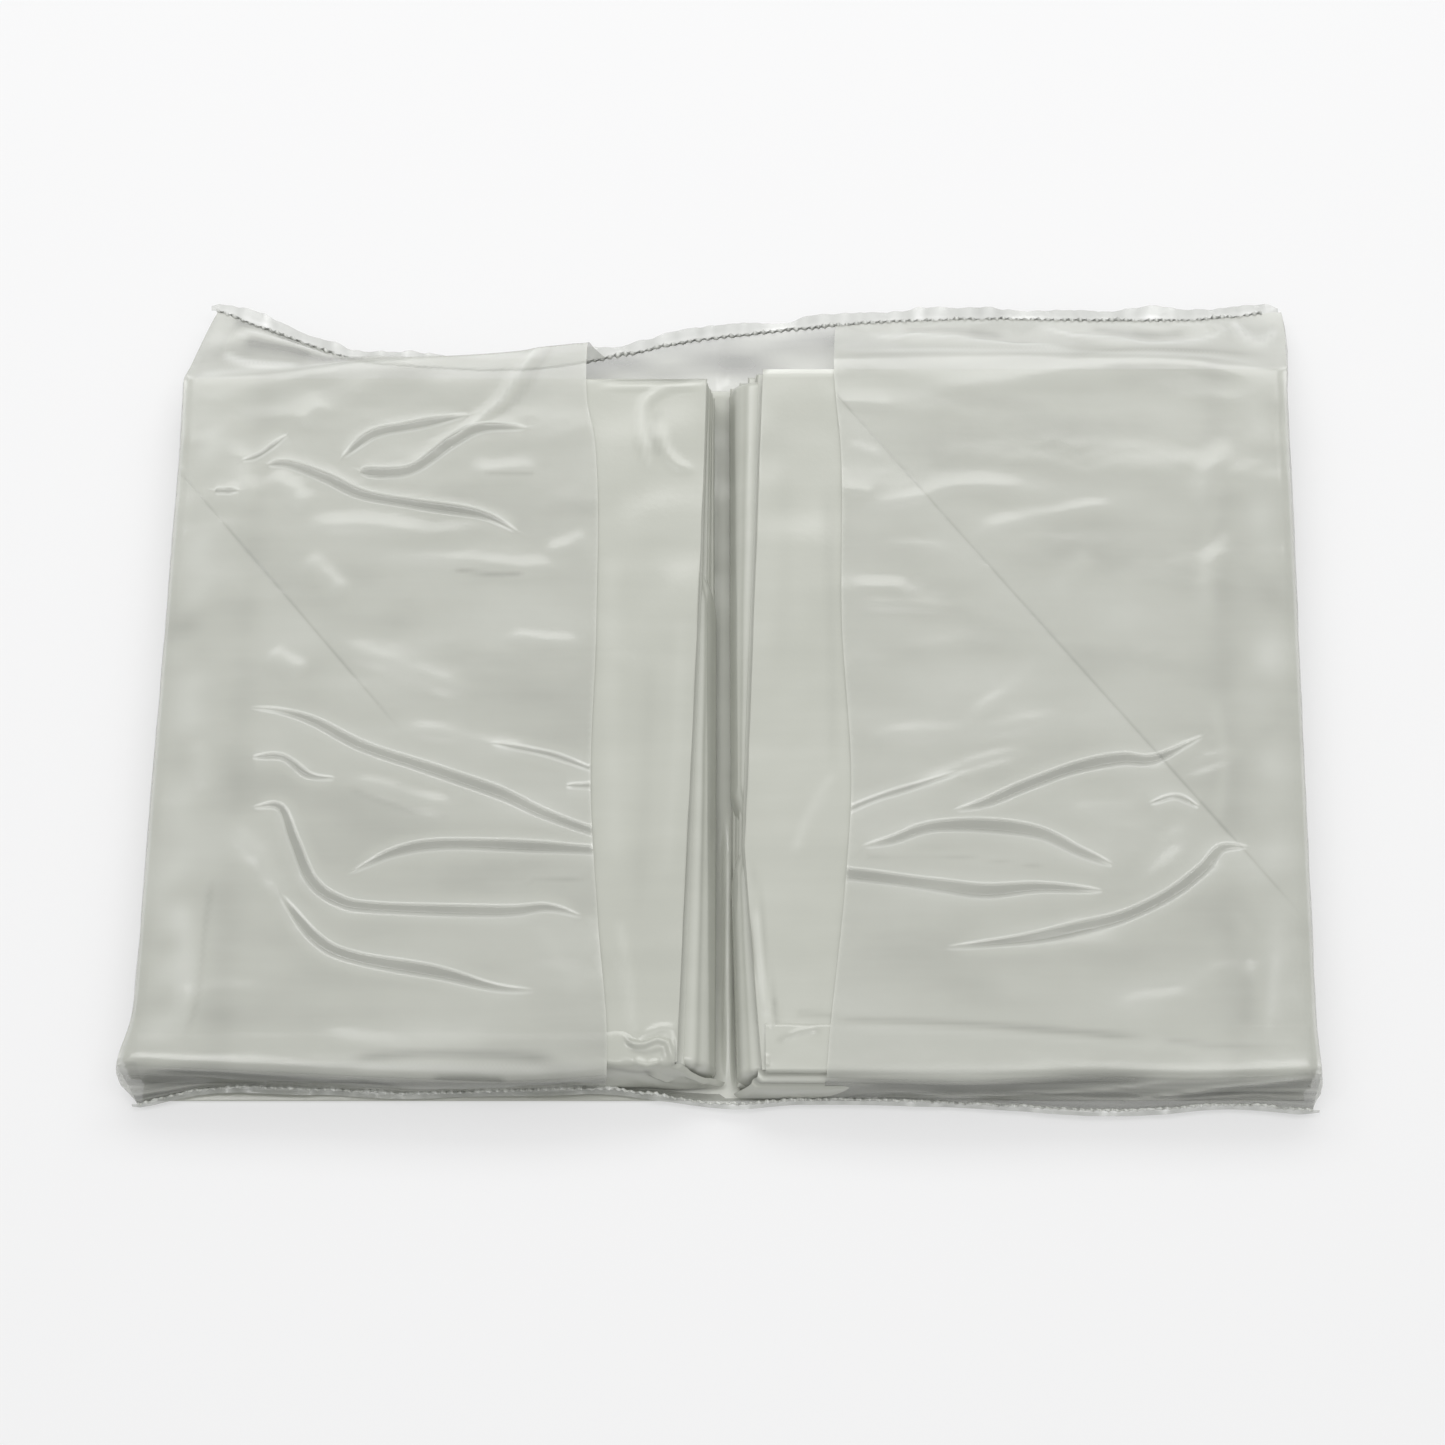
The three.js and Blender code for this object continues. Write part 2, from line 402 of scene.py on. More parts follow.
def fin_point(data, x, shoulder, share, front):
    """Y and Z of the film past a stack's end, where it has gone a share of the way to the bead."""
    out, bead_y = data["outward"], data["bead_y"](x)
    level = data["bead_z"](x) + (BEAD_GRIP if front else -BEAD_GRIP)
    top = FILM_Z - data["drop"] if front else BACK_Z
    swell = data["sag"] if front else -0.5 * data["sag"]
    lean = math.radians(data["lean"]) if front else 0
    reach = (bead_y - shoulder) * out
    pull = 1.4 + 0.22 * np.abs(reach)
    y = bezier(shoulder, shoulder + out * pull * math.cos(lean), bead_y - 0.25 * out * reach, bead_y, share)
    return y, bezier(top, top - pull * math.sin(lean), level + swell, level, share)


def sleeve_point(half, s, t, front):
    """Carries (s, t) on the flat sleeve to (x, y, z) on the front or the back film."""
    side = HALVES[half]
    s, t = np.broadcast_arrays(np.asarray(s, float), np.asarray(t, float))
    inset = (crease_x(side, t) - s) * side
    x = s + side * flare(half, t) * smooth(FLARE_REACH, 0, inset)
    y, z = t.copy(), np.full(s.shape, FILM_Z if front else BACK_Z)
    if front:
        z = z - CREASE_DROP * smooth(CREASE_ROUND, 0, inset) ** 2
    for end, data in ENDS.items():
        out, root = data["outward"], stack_end(half, end)
        share = fin_share(half, end, t)
        tip = data["tips"][0 if side < 0 else 1]
        x = x + (tip - crease_x(side, root)) * share * smooth(TIP_REACH, 0, inset)
        shoulder = SHOULDERS[(half, end)](s) if front else np.full(s.shape, root + out * 0.5)
        start = root - out * SHOULDER_RUN
        rise = np.clip((t - start) * out / SHOULDER_RUN, 0, 1)
        y = np.where((t - start) * out > 0, start + rise * (shoulder - start), y)
        if front:
            z = z - data["drop"] * rise ** data["drop_power"]
        fin_y, fin_z = fin_point(data, x, shoulder, share, front)
        y, z = np.where(share > 0, fin_y, y), np.where(share > 0, fin_z, z)
    return np.stack([x, y, z], -1)


# A pucker is a narrow tunnel where the film stands off the stack: points (x, y), half width, height, and
# the shares of its length over which it narrows at its start and at its end. A tunnel that runs out under
# the lip doesn't narrow there.
OPEN, BLUNT, SHARP = 0.001, 0.07, 0.45
PUCKERS = {
    "left": [
        ([(-126, -9), (-118, -10), (-109, -13), (-96, -20), (-79, -26), (-60, -33), (-50, -38),
          (-39, -42.5), (-34, -44)], 1.3, 0.6, 0.5, OPEN),
        ([(-125, -23), (-117, -23), (-110, -28), (-103, -29)], 0.7, 0.4, 0.3, SHARP),
        ([(-124, -37), (-117, -37), (-113, -46), (-108, -57), (-101, -62.5), (-91, -64.5), (-59, -65.5),
          (-47, -64.5), (-38, -67)], 1.2, 0.55, 0.15, 0.2),
        ([(-98, -55), (-87, -49.5), (-76, -47.3), (-59, -47.5), (-33, -49)], 1.25, 0.6, SHARP, OPEN),
        ([(-116, -61), (-106, -73), (-96, -78), (-75, -82), (-60, -86), (-50, -87)], 1.4, 0.5, 0.3, SHARP),
        ([(-125, 62), (-119, 62), (-109, 58), (-99, 53), (-84, 50), (-67, 47), (-57, 42)],
         1.2, 0.55, BLUNT, 0.25),
        ([(-105, 64), (-97, 71), (-87, 73.5), (-71, 77)], 1.25, 0.45, 0.3, SHARP),
        ([(-100, 60), (-93, 59.5), (-85, 61), (-75, 69), (-67, 73), (-55, 73)], 1.45, 0.5, BLUNT, 0.35),
        ([(-132, 63), (-127, 65), (-120, 71)], 0.6, 0.3, 0.3, SHARP),
        ([(-139, 54), (-132, 54)], 0.7, 0.35, 0.2, SHARP),
        ([(-63, -19), (-48, -22), (-37, -26), (-34, -27)], 0.65, 0.3, SHARP, OPEN),
        ([(-43, -31), (-33, -31)], 0.65, 0.3, SHARP, OPEN),
    ],
    "right": [
        ([(58, -38), (67, -35.5), (77, -31), (90, -26), (102, -23.5), (111, -23.5), (124, -17)],
         1.35, 0.6, 0.35, SHARP),
        ([(34, -48), (42, -46), (52, -42.5), (66, -42), (80, -44), (90, -49), (99, -53)],
         1.5, 0.6, SHARP, 0.3),
        ([(27, -55), (32, -55.5), (40, -56.5), (54, -58.5), (66, -60), (80, -59), (96, -60)],
         1.5, 0.6, OPEN, SHARP),
        ([(134, -48), (127, -48.5), (122, -54), (113, -61), (101, -67), (90, -70), (76, -73),
          (55, -75.5)], 1.35, 0.6, 0.2, SHARP),
        ([(28, -39), (38, -34.5), (50, -30.5), (60, -27)], 0.75, 0.32, OPEN, 0.7),
        ([(109, -36), (116, -34), (122, -37)], 0.6, 0.3, SHARP, 0.3),
    ],
}
# The long fold in the left half's far corner, which has a ridge and a painted highlight of its own.
CORNER_FOLD = [(-40, 100), (-51, 91), (-59, 84), (-67, 77), (-78, 67)]
# A ridge is a soft swell of the film along a line: points, half width, height.
RIDGES = {
    "left": [
        (CORNER_FOLD, 1.9, 0.39),
        ([(-52, 90), (-40, 91)], 1.8, 0.26),
        ([(-125, 88), (-113, 88), (-88, 89.5), (-72, 90.5)], 3.2, 0.34),
        ([(-111, 82), (-117, 73)], 3.2, 0.43),
        ([(-124, 61), (-113, 48)], 3.5, 0.43),
        ([(-115, 43), (-98, 44), (-80, 42)], 3, 0.43),
        ([(-72, 60), (-50, 61.5)], 3.2, 0.39),
        ([(-99, 34), (-73, 33), (-54, 31), (-40, 33)], 3.2, 0.4),
        ([(-114, 36), (-102, 22)], 3.8, 0.43),
        ([(-50, 35), (-37, 41)], 2.8, 0.34),
        ([(-123, 8), (-111, 0)], 3.8, 0.47),
        ([(-109, 10), (-83, 1), (-64, -8)], 4, 0.47),
        ([(-62, 12), (-37, 9)], 3, 0.34),
        ([(-90, -13), (-66, -18.5), (-48, -21.5)], 3, 0.34),
        ([(-104, -28), (-81, -35), (-67, -39)], 3.5, 0.43),
        ([(-134, -42), (-126, -46), (-117, -58), (-112, -67)], 3.2, 0.43),
        ([(-141, -17), (-136, -34)], 4.2, 0.52),
        ([(-142, -58), (-138, -80), (-139, -101)], 3.4, 0.42),
        ([(-134, 70), (-130, 46)], 3.8, 0.39),
        ([(-110, -96), (-80, -97.5), (-50, -96)], 3.8, 0.3),
        ([(-70, -58.5), (-35, -57)], 0.7, 0.12),
    ],
    "right": [
        ([(46, -32), (63, -25), (81, -20)], 2.2, 0.39),
        ([(29, 81), (45, 80)], 2, 0.34),
        ([(31, 68), (42, 64.5)], 2.2, 0.34),
        ([(30, 55), (39, 53)], 1.9, 0.3),
        ([(32, 48.5), (51, 52), (63, 55.5), (83, 56)], 3, 0.43),
        ([(62, 38), (73, 44), (91, 47.5), (110, 52)], 3, 0.43),
        ([(38, 38), (62, 37)], 2.8, 0.3),
        ([(31, 21), (47, 20), (61, 19)], 2.2, 0.3),
        ([(32, 26), (48, 26)], 2, 0.26),
        ([(136, 70), (129, 59), (125, 45)], 3.5, 0.43),
        ([(136, 46), (129, 32), (125, 14)], 3.6, 0.34),
        ([(76, 88), (118, 91), (148, 89)], 2.4, 0.3),
        ([(52, 85), (80, 87), (110, 86)], 2.6, 0.3),
        ([(33, -17), (58, -16), (71, -15), (90, -11)], 3.5, 0.39),
        ([(60, -16), (83, 6)], 2.5, 0.26),
        ([(116, -29), (126, -24), (136, -20)], 2.8, 0.3),
        ([(127, -60), (132, -72), (133, -86)], 3.2, 0.3),
        ([(142, -64), (139, -80), (138, -96)], 3.2, 0.32),
        ([(86, -38), (109, -36)], 2.5, 0.3),
        ([(104, -58), (112, -49), (121, -41)], 3, 0.34),
        ([(31, -50), (57, -50), (85, -54)], 0.7, 0.14),
        ([(92, -91), (108, -86), (126, -81)], 3.8, 0.28),
        ([(84, 22), (98, 36)], 3.8, 0.26),
    ],
}
# Straight creases in the sheet that show through as a small step: from, to.
STEPS = {"left": [((-148, 59), (-86, -16))], "right": [((22, 92), (148, -68))]}
STEP_HEIGHT = 0.04
# Folds in the film past the stacks' ends: points, half width, height, and the half width and the tone of
# the painted highlight along them.
FIN_FOLDS = {
    "left": [
        ([(-142, 95), (-139, 98.5), (-128, 100), (-110, 98), (-96, 95), (-82, 91)], 1.5, 0.7, 0.9, 1.1),
        ([(-142, 95), (-134, 92.5), (-117, 91)], 1.3, 0.6, 0.9, 0.9),
        ([(-60, 98), (-48, 96), (-40, 97)], 1.5, 0.4, 0, 0),
        ([(-148, -110), (-125, -111), (-100, -114)], 0.8, 0.5, 0, 0),
    ],
    "right": [
        ([(37, 104.5), (43, 100), (59, 98), (80, 95.5), (97, 94)], 1.4, 0.7, 0.8, 0.6),
        ([(84, 103.5), (94, 99.5), (109, 97), (127, 97.5), (138, 101)], 1.4, 0.7, 0.8, 0.6),
        ([(138, 105), (141, 100), (146, 98.5), (151, 102)], 1.3, 0.9, 0.8, 0.6),
        ([(132, 104), (136, 101), (134, 99)], 0.8, 0.5, 0, 0),
        ([(26, -116), (68, -115.5), (94, -113.3), (114, -109)], 0.8, 0.4, 0.7, 0.6),
        ([(99, -117), (119, -113), (147, -109.5)], 0.7, 0.4, 0.6, 0.7),
    ],
}
# Painted highlights and painted shade in the film, as soft streaks along lines: points, half width, tone.
SHADES = {
    "left": [
        ([(-98, -103), (-79, -101.8), (-58, -101.8), (-42, -102.8)], 0.9, -0.4),
        ([(-98, -105), (-79, -104), (-58, -104), (-42, -105)], 1.0, 0.2),
        ([(-76, -106.5), (-66, -106), (-56, -106.3)], 0.8, -0.5),
        ([(-133.5, -55), (-135, -72), (-135.5, -86), (-138, -101)], 0.9, -0.16),
        ([(-141, -62), (-140, -84), (-141, -99)], 2.6, 0.16),
        ([(-149, -108), (-125, -109.5), (-100, -111.5), (-80, -113)], 0.9, -0.7),
        ([(-150, -111.5), (-135, -113), (-118, -115)], 2.0, -0.5),
        ([(-101, -31), (-86, -37), (-78, -39), (-71, -39.5)], 1.0, -0.16),
        ([(-75, 31), (-63, 29.5), (-54, 29.5)], 0.6, -0.35),
        ([(-67, 59.5), (-52, 59.5)], 0.5, -0.3),
        ([(-143, 102), (-130, 104), (-118, 101.5)], 2.6, -0.6),
        ([(-136, 98), (-126, 98), (-114, 96.5)], 1.4, -0.35),
        ([(-138, 96.5), (-128, 96.5), (-112, 95), (-98, 93)], 1.8, -0.3),
        ([(-147, 89), (-134, 90), (-106, 90)], 0.9, 0.5),
        (CORNER_FOLD, 0.6, 0.25),
        ([(-38, 98), (-49, 89), (-57, 82), (-66, 75)], 1.0, -0.15),
        ([(-36, -66), (-33, -76), (-33, -84)], 0.6, 0.2),
        ([(-55, -57.5), (-44, -57), (-35, -56)], 0.5, -0.2),
        ([(-50, -68), (-44, -78), (-38, -88)], 2.5, 0.08),
    ],
    "right": [
        ([(22, -94.4), (56, -95.5), (86, -97.8), (108, -99.8)], 1.1, -0.36),
        ([(24, -96.8), (56, -97.8), (86, -100), (112, -101.5)], 1.0, 0.16),
        ([(108, -99.8), (126, -101.5), (146, -102)], 0.7, -0.22),
        ([(30, -111.5), (60, -112), (88, -110.8), (110, -108.8)], 2.2, -0.5),
        ([(112, -117), (130, -114), (149, -111.5)], 1.3, -0.45),
        ([(46, 103), (60, 101), (78, 99)], 1.6, -0.4),
        ([(98, 102), (112, 100), (128, 101)], 1.6, -0.4),
        ([(29, 95), (60, 94), (102, 93), (130, 93.5), (148, 92.5)], 0.8, 0.5),
        ([(90, 91.8), (115, 94.8), (148, 95.5)], 1.0, -0.25),
        ([(127, -5), (129, -24), (126, -43)], 1.8, 0.14),
        ([(133, 60), (128, 40), (126, 20)], 2.2, 0.1),
        ([(140, -76), (137.5, -90), (136, -100)], 1.3, 0.18),
        ([(133, -70), (132, -84), (131, -98)], 2.2, -0.1),
        ([(31, -50.5), (57, -50.5), (85, -54)], 0.45, -0.2),
    ],
}
# The painted highlights along the fin folds join SHADES; the folds keep only their heights.
for half_name, folds in FIN_FOLDS.items():
    SHADES[half_name] += [(points, width, tone) for points, _, _, width, tone in folds if width]
    FIN_FOLDS[half_name] = [fold[:3] for fold in folds]
# Where painted shade darkens the film along the side: the distance from the outer crease.
SIDE_SHADE_BANDS = {"left": 22, "right": 20}
# The curl of the left top ply near its far end, which has a ridge and a painted highlight of its own.
PLY_CURL = [(-21, 60), (-24, 72), (-22.5, 82), (-15, 87)]
# Folds and curls of the top ply between the lips: points, half width, height.
SHEET_RIDGES = {
    "left": [
        (PLY_CURL, 1.3, 0.7),
        ([(-20, 76), (-18, 67), (-14, 62), (-9, 60)], 1.5, 0.6),
        ([(-36, 87.6), (-7, 88)], 0.8, -0.35),
        ([(-36, 86), (-7, 86.4)], 0.8, 0.3),
        ([(-24, -101), (-20, -97.5), (-15, -97), (-15.5, -101)], 1.0, 0.6),
        ([(-20, -104), (-16, -106.5)], 0.9, 0.5),
        ([(-29, -70), (-25, -88), (-23, -100)], 2.6, 0.5),
        ([(-28, 60), (-27, 20), (-26, -20)], 4.0, 0.3),
        ([(-14, 40), (-15, -10), (-19, -60)], 5.0, 0.3),
    ],
    "right": [
        ([(6, -60), (7.5, -78), (10.6, -97), (10.8, -106)], 1.2, 0.6),
        ([(9, -90), (11.5, -94), (9.5, -98)], 0.8, 0.5),
        ([(22, 60), (24, 10), (26, -30)], 4.0, 0.3),
        ([(14, -52), (20, -38), (28, -26)], 3.0, 0.25),
        ([(8, -95), (24, -97)], 1.0, 0.3),
        ([(15, 80), (14, 30), (12, -10)], 5.0, 0.3),
    ],
}


def line_measure(line, x, y):
    """Each point's distance from a line of points, and how far along it the nearest place is, 0 to 1."""
    best = np.full(x.shape, 1e9)
    along = np.zeros(x.shape)
    lengths = np.linalg.norm(np.diff(line, axis=0), axis=1)
    total, run = lengths.sum(), 0.0
    for a, b, length in zip(line, line[1:], lengths):
        d = b - a
        u = np.clip(((x - a[0]) * d[0] + (y - a[1]) * d[1]) / max(length * length, 1e-9), 0, 1)
        far = np.hypot(x - a[0] - u * d[0], y - a[1] - u * d[1])
        closer = far < best
        best[closer] = far[closer]
        along[closer] = ((run + u * length) / total)[closer]
        run += length
    return best, along


def pucker_width(along, width, start, end):
    """A pucker's half width along it, rounded off over the shares start and end of its length."""
    ramps = np.clip(along / start, 0, 1), np.clip((1 - along) / end, 0, 1)
    sway = 0.86 + 0.2 * np.sin(math.pi * along) + 0.08 * np.sin(13 * along + 9 * width)
    return width * sway * np.prod([np.sqrt(np.maximum(1 - (1 - u) ** 2, 0.01)) for u in ramps], axis=0)


RIM = 0.5                     # half the width of a pucker's rolled edge


def near_line(line, reach, x, y):
    """Which points lie in the box round a line, grown by reach."""
    low, high = line.min(0) - reach, line.max(0) + reach
    return (x > low[0]) & (x < high[0]) & (y > low[1]) & (y < high[1])


def pucker_field(half, x, y):
    """Height of the puckers, and their tone: raised tops painted darker, painted highlights on the rims
    and a faint painted glow beside them.
    """
    height, tone = np.zeros(x.shape), np.zeros(x.shape)
    for points, width, rise, start, end in PUCKERS[half]:
        line = through(points, 0.8)
        near = near_line(line, width + 5, x, y)
        if not near.any():
            continue
        far, along = line_measure(line, x[near], y[near])
        w = pucker_width(along, width, start, end)
        body = smooth(w + RIM, np.maximum(w - RIM, 0), far)
        apron = np.exp(-np.maximum(far - w, 0) / 1.1) * smooth(w + 4.5, w + 0.5, far)
        size = w / width
        height[near] = np.maximum(height[near], rise * size * (0.68 * body + 0.32 * apron))
        # Darker paint on the raised top, a painted highlight along each rim and a painted glow beside it.
        top = smooth(w + 0.05, w - 0.35, far) * smooth(0.2, 0.75, size)
        rim_highlight = np.exp(-((far - w - 0.26) / 0.32) ** 2) * smooth(0.1, 0.45, size)
        halo_glow = np.exp(-((far - w - 1.2) / 1.3) ** 2) * smooth(0.2, 0.6, size)
        painted_light_and_shade = 0.42 * rim_highlight + 0.12 * halo_glow - 0.45 * top
        stronger = np.abs(painted_light_and_shade) > np.abs(tone[near])
        tone[near] = np.where(stronger, painted_light_and_shade, tone[near])
    return height, tone


def stroke_field(strokes, x, y, step, reach, fade, falloff):
    """The sum of soft strokes along lines: points, half width, amount. They fade at both ends."""
    total = np.zeros(x.shape)
    for points, width, amount in strokes:
        line = through(points, step)
        near = near_line(line, width * reach, x, y)
        if near.any():
            far, along = line_measure(line, x[near], y[near])
            ends = smooth(0, fade, along) * smooth(1, 1 - fade, along)
            total[near] += amount * ends * np.exp(-falloff * (far / width) ** 2)
    return total


def ridge_field(ridges, x, y):
    """Height of soft swells along lines."""
    return stroke_field(ridges, x, y, 1.5, 2.2, 0.28, 1.4)


def shade_field(shades, x, y):
    """The tone of soft streaks along lines: painted highlights and painted shade."""
    return stroke_field(shades, x, y, 1.0, 2.6, 0.15, 1.0)


def step_frame(step):
    """A straight crease's start, the directions along it and across it, and its length."""
    start, stop = np.array(step[0], float), np.array(step[1], float)
    length = np.linalg.norm(stop - start)
    along = (stop - start) / length
    return start, along, np.array([along[1], -along[0]]), length


def step_field(half, x, y):
    """Height of the straight creases that show through from the sheet, and their painted light and shade."""
    height, tone = np.zeros(x.shape), np.zeros(x.shape)
    for step in STEPS[half]:
        start, ahead, sideways, length = step_frame(step)
        along = (x - start[0]) * ahead[0] + (y - start[1]) * ahead[1]
        across = (x - start[0]) * sideways[0] + (y - start[1]) * sideways[1]
        there = smooth(-2, 3, along) * smooth(length + 4, length - 25, along)
        edge = smooth(-0.4, 0.4, across) * smooth(16, 0, across) * there
        height += STEP_HEIGHT * edge
        # Painted light on one side of the crease, and a painted shade line along it.
        tone += 0.12 * edge - 0.34 * np.exp(-(across / 0.45) ** 2) * there
    return height, tone


WAVES = {half: ripples(seed, 26, (9, 42), 0.75, 0.22) for half, seed in (("left", 11), ("right", 23))}
FINE = ripples(5, 30, (2.5, 8), 0.6, 0.02)
# Painted sheen: soft patches over the front film, and more along its sides.
SHEEN_PATCHES = ripples(31, 24, (12, 50), 0.6, 0.1)
SIDE_SHEEN = ripples(37, 20, (10, 45), 0.6, 0.22)
GATHERS = ripples(41, 24, (9, 40), -0.2, 1.1)
STREAKS = ripples(43, 24, (1.2, 6), 0.92, 0.5)
SHEEN = 0.4                              # the painted sheen: how much lighter a millimetre of ridge makes the film
FAR_FIN_TONE = {"left": -0.14, "right": 0.16}
LIPS = {half: lip_line(half) for half in HALVES}


def resting(relief):
    """The film lies on the sheet where it would sink into it, and stands free where it is higher."""
    return 0.5 * (relief + np.sqrt(relief * relief + 0.012)) - 0.14


def film_tone(half, s, t, inset):
    """The tone of the front film apart from its creases, with its painted highlights, sheen and shade."""
    far, near = fin_share(half, "far", t), fin_share(half, "near", t)
    lip = (s - LIPS[half](t)) * HALVES[half]
    # A painted highlight along the lip, and painted sheen patches.
    tone = 0.12 * np.exp(-(lip / 0.3) ** 2) + SHEEN_PATCHES(s, t)
    # A band of painted shade along the side.
    tone = tone - 0.1 * np.exp(-((inset - SIDE_SHADE_BANDS[half]) / 4) ** 2)
    # Painted sheen along the side.
    tone = tone + (0.14 + SIDE_SHEEN(s, t)) * np.exp(-((inset - 8) / 4.5) ** 2)
    # Painted shade over the near shoulder, where the film turns away from the light.
    tone = tone - 0.2 * smooth(3, 0, t - stack_end(half, "near"))
    # Painted shade, with streaks, over the near fin.
    near_fin_shade = (0.7 * STREAKS(s * 0.1, t * 2) - 0.6) * smooth(0.05, 0.4, near)
    return tone, near_fin_shade + FAR_FIN_TONE[half] * smooth(0, 0.4, far)


def film_relief(half, s, t):
    """How far the front film stands off its flat level at (s, t), and its tone with painted highlights and
    shade.
    """
    inset = (crease_x(HALVES[half], t) - s) * HALVES[half]
    near = fin_share(half, "near", t)
    fin = np.maximum(fin_share(half, "far", t), near)
    height, pucker_light_and_shade = pucker_field(half, s, t)
    step, step_light_and_shade = step_field(half, s, t)
    ridges = ridge_field(RIDGES[half], s, t)
    relief = resting(WAVES[half](s, t) + ridges + FINE(s, t)) + height + step
    loose = smooth(0.1, 0.5, fin) * smooth(1.0, 0.8, fin)
    relief = relief * smooth(0.5, 0, fin) + GATHERS(s, 2 * t) * loose * np.where(near > 0, 0.35, 0.6)
    relief = relief + ridge_field(FIN_FOLDS[half], s, t) * smooth(1.0, 0.85, fin)
    tone, fin_tone = film_tone(half, s, t, inset)
    # Painted light and shade of the puckers and straight creases, and painted sheen on the ridges, fading
    # over the fins.
    tone = (tone + pucker_light_and_shade + step_light_and_shade + SHEEN * ridges) * smooth(0.4, 0, fin)
    # The painted highlights and shade of SHADES lie over the whole film.
    return relief * smooth(0, 1.5, inset), tone + fin_tone + shade_field(SHADES[half], s, t)


def film_span(half):
    return stack_end(half, "near") - FIN_RUN, stack_end(half, "far") + FIN_RUN


def film_rows(half):
    """Rows of t for the film's base grid, closer together where the film turns over the shoulders."""
    low, high = film_span(half)
    rows, t = [], low + 0.7
    while t < high - 0.5:
        rows.append(t)
        inward = min(abs(t - stack_end(half, "near")), abs(t - stack_end(half, "far")))
        t += 0.45 + 0.7 * float(smooth(1.5, 6, inward))
    return rows


def on_film(half, points, margin):
    """Which points (s, t) lie on the flap, more than a margin inside its crease and its lip."""
    side, s, t = HALVES[half], points[:, 0], points[:, 1]
    return ((crease_x(side, t) - s) * side > margin) & ((s - LIPS[half](t)) * side > margin)


def base_points(half):
    """A staggered grid of (s, t) over the flap, clear of the puckers, which bring their own points."""
    side = HALVES[half]
    points = []
    for i, t in enumerate(film_rows(half)):
        edge, lip = float(crease_x(side, t)), float(LIPS[half](t))
        across = np.arange(0.6, abs(lip - edge) - 0.5, 1.2) + (0.5 if i % 2 else 0)
        points += [(edge - side * u, t) for u in across if u < abs(lip - edge) - 0.4]
    points = np.array(points)
    clear = np.abs(points[:, 1] - SEAM_T) > 0.35
    for step in STEPS[half]:
        start, _, sideways, _ = step_frame(step)
        clear &= np.abs((points - start) @ sideways) > 1.1
    for line, width, *_ in PUCKERS[half]:
        far, _ = line_measure(through(line, 1.5), points[:, 0], points[:, 1])
        clear &= far > width + 3 * RIM
    return points[clear]


PUCKER_ROWS = (-2.0, -1.0, -0.5, 0, 0.5, 1.0, 1.6, 2.4)       # in rims, from a pucker's edge outwards
STEP_ROWS = (-0.8, -0.4, 0, 0.4, 0.8)                         # across a straight crease


def crease_points(half):
    """Rows of (s, t) along each pucker's middle, edges and rims, and along the straight creases."""
    points = []
    for line, width, _, start, end in PUCKERS[half]:
        line = through(line, 0.55)
        direction = np.gradient(line, axis=0)
        direction /= np.maximum(np.linalg.norm(direction, axis=1), 1e-9)[:, None]
        normal = np.stack([-direction[:, 1], direction[:, 0]], 1)
        w = pucker_width(np.linspace(0, 1, len(line)), width, start, end)[:, None]
        points.append(line)
        for row in PUCKER_ROWS:
            offset = normal * np.maximum(w + row * RIM, 0)
            points += [line + offset, line - offset]
    for step in STEPS[half]:
        start, ahead, sideways, length = step_frame(step)
        run = np.arange(0, 1, 0.6 / length)[:, None] * length
        points += [start + run * ahead + row * sideways for row in STEP_ROWS]
    points = np.vstack(points)
    return points[on_film(half, points, 0.3) & (np.abs(points[:, 1] - SEAM_T) > 0.25)]


END_POINTS, SEAM_POINTS = 84, 120        # points across the flap at each end and along the seam
CLOSEST = 0.22                           # points in one cell of this size are merged


def film_mesh(half):
    """The flat film of one flap as points (s, t) and triangles, with a row of edges along SEAM_T."""
    side = HALVES[half]
    low, high = film_span(half)
    rows = np.array([low, *film_rows(half), high])
    border = [(float(line(t)), t) for line in (lambda t: crease_x(side, t), LIPS[half]) for t in rows]
    across = []
    for t, count in ((low, END_POINTS), (high, END_POINTS), (SEAM_T, SEAM_POINTS)):
        edge, lip = float(crease_x(side, t)), float(LIPS[half](t))
        across += [(edge + (lip - edge) * u, t) for u in np.linspace(0, 1, count)]
    inner = np.vstack([crease_points(half), base_points(half)])
    cells = np.round(inner / CLOSEST).astype(int)
    inner = inner[np.sort(np.unique(cells, axis=0, return_index=True)[1])]
    edges = [(i, i + 1) for i in range(2 * len(rows) - 1) if i != len(rows) - 1]
    seam = len(border) + 2 * END_POINTS
    edges += [(seam + i, seam + i + 1) for i in range(SEAM_POINTS - 1)]
    points = [Vector(p) for p in border + across + inner.tolist()]
    found, _, faces, *_ = delaunay_2d_cdt(points, edges, [], 0, 1e-4, False)
    flat = np.array([tuple(p) for p in found])
    faces = np.array([f for f in faces if len(f) == 3])
    return flat, faces[on_film(half, flat[faces].mean(1), 0)]


def raise_film(half, flat):
    """The film's points in the air, and their tone."""
    place = sleeve_point(half, flat[:, 0], flat[:, 1], True)
    relief, tone = film_relief(half, flat[:, 0], flat[:, 1])
    step = 0.05
    across = sleeve_point(half, flat[:, 0] + step, flat[:, 1], True) - place
    along = sleeve_point(half, flat[:, 0], flat[:, 1] + step, True) - place
    normal = np.cross(across, along)
    normal /= np.maximum(np.linalg.norm(normal, axis=1), 1e-9)[:, None]
    return place + normal * relief[:, None], tone


def smooth_normals(points, faces):
    a, b, c = points[faces[:, 0]], points[faces[:, 1]], points[faces[:, 2]]
    face_normal = np.cross(b - a, c - a)
    normal = np.zeros(points.shape)
    for k in range(3):
        np.add.at(normal, faces[:, k], face_normal)
    return normal / np.maximum(np.linalg.norm(normal, axis=1), 1e-12)[:, None]


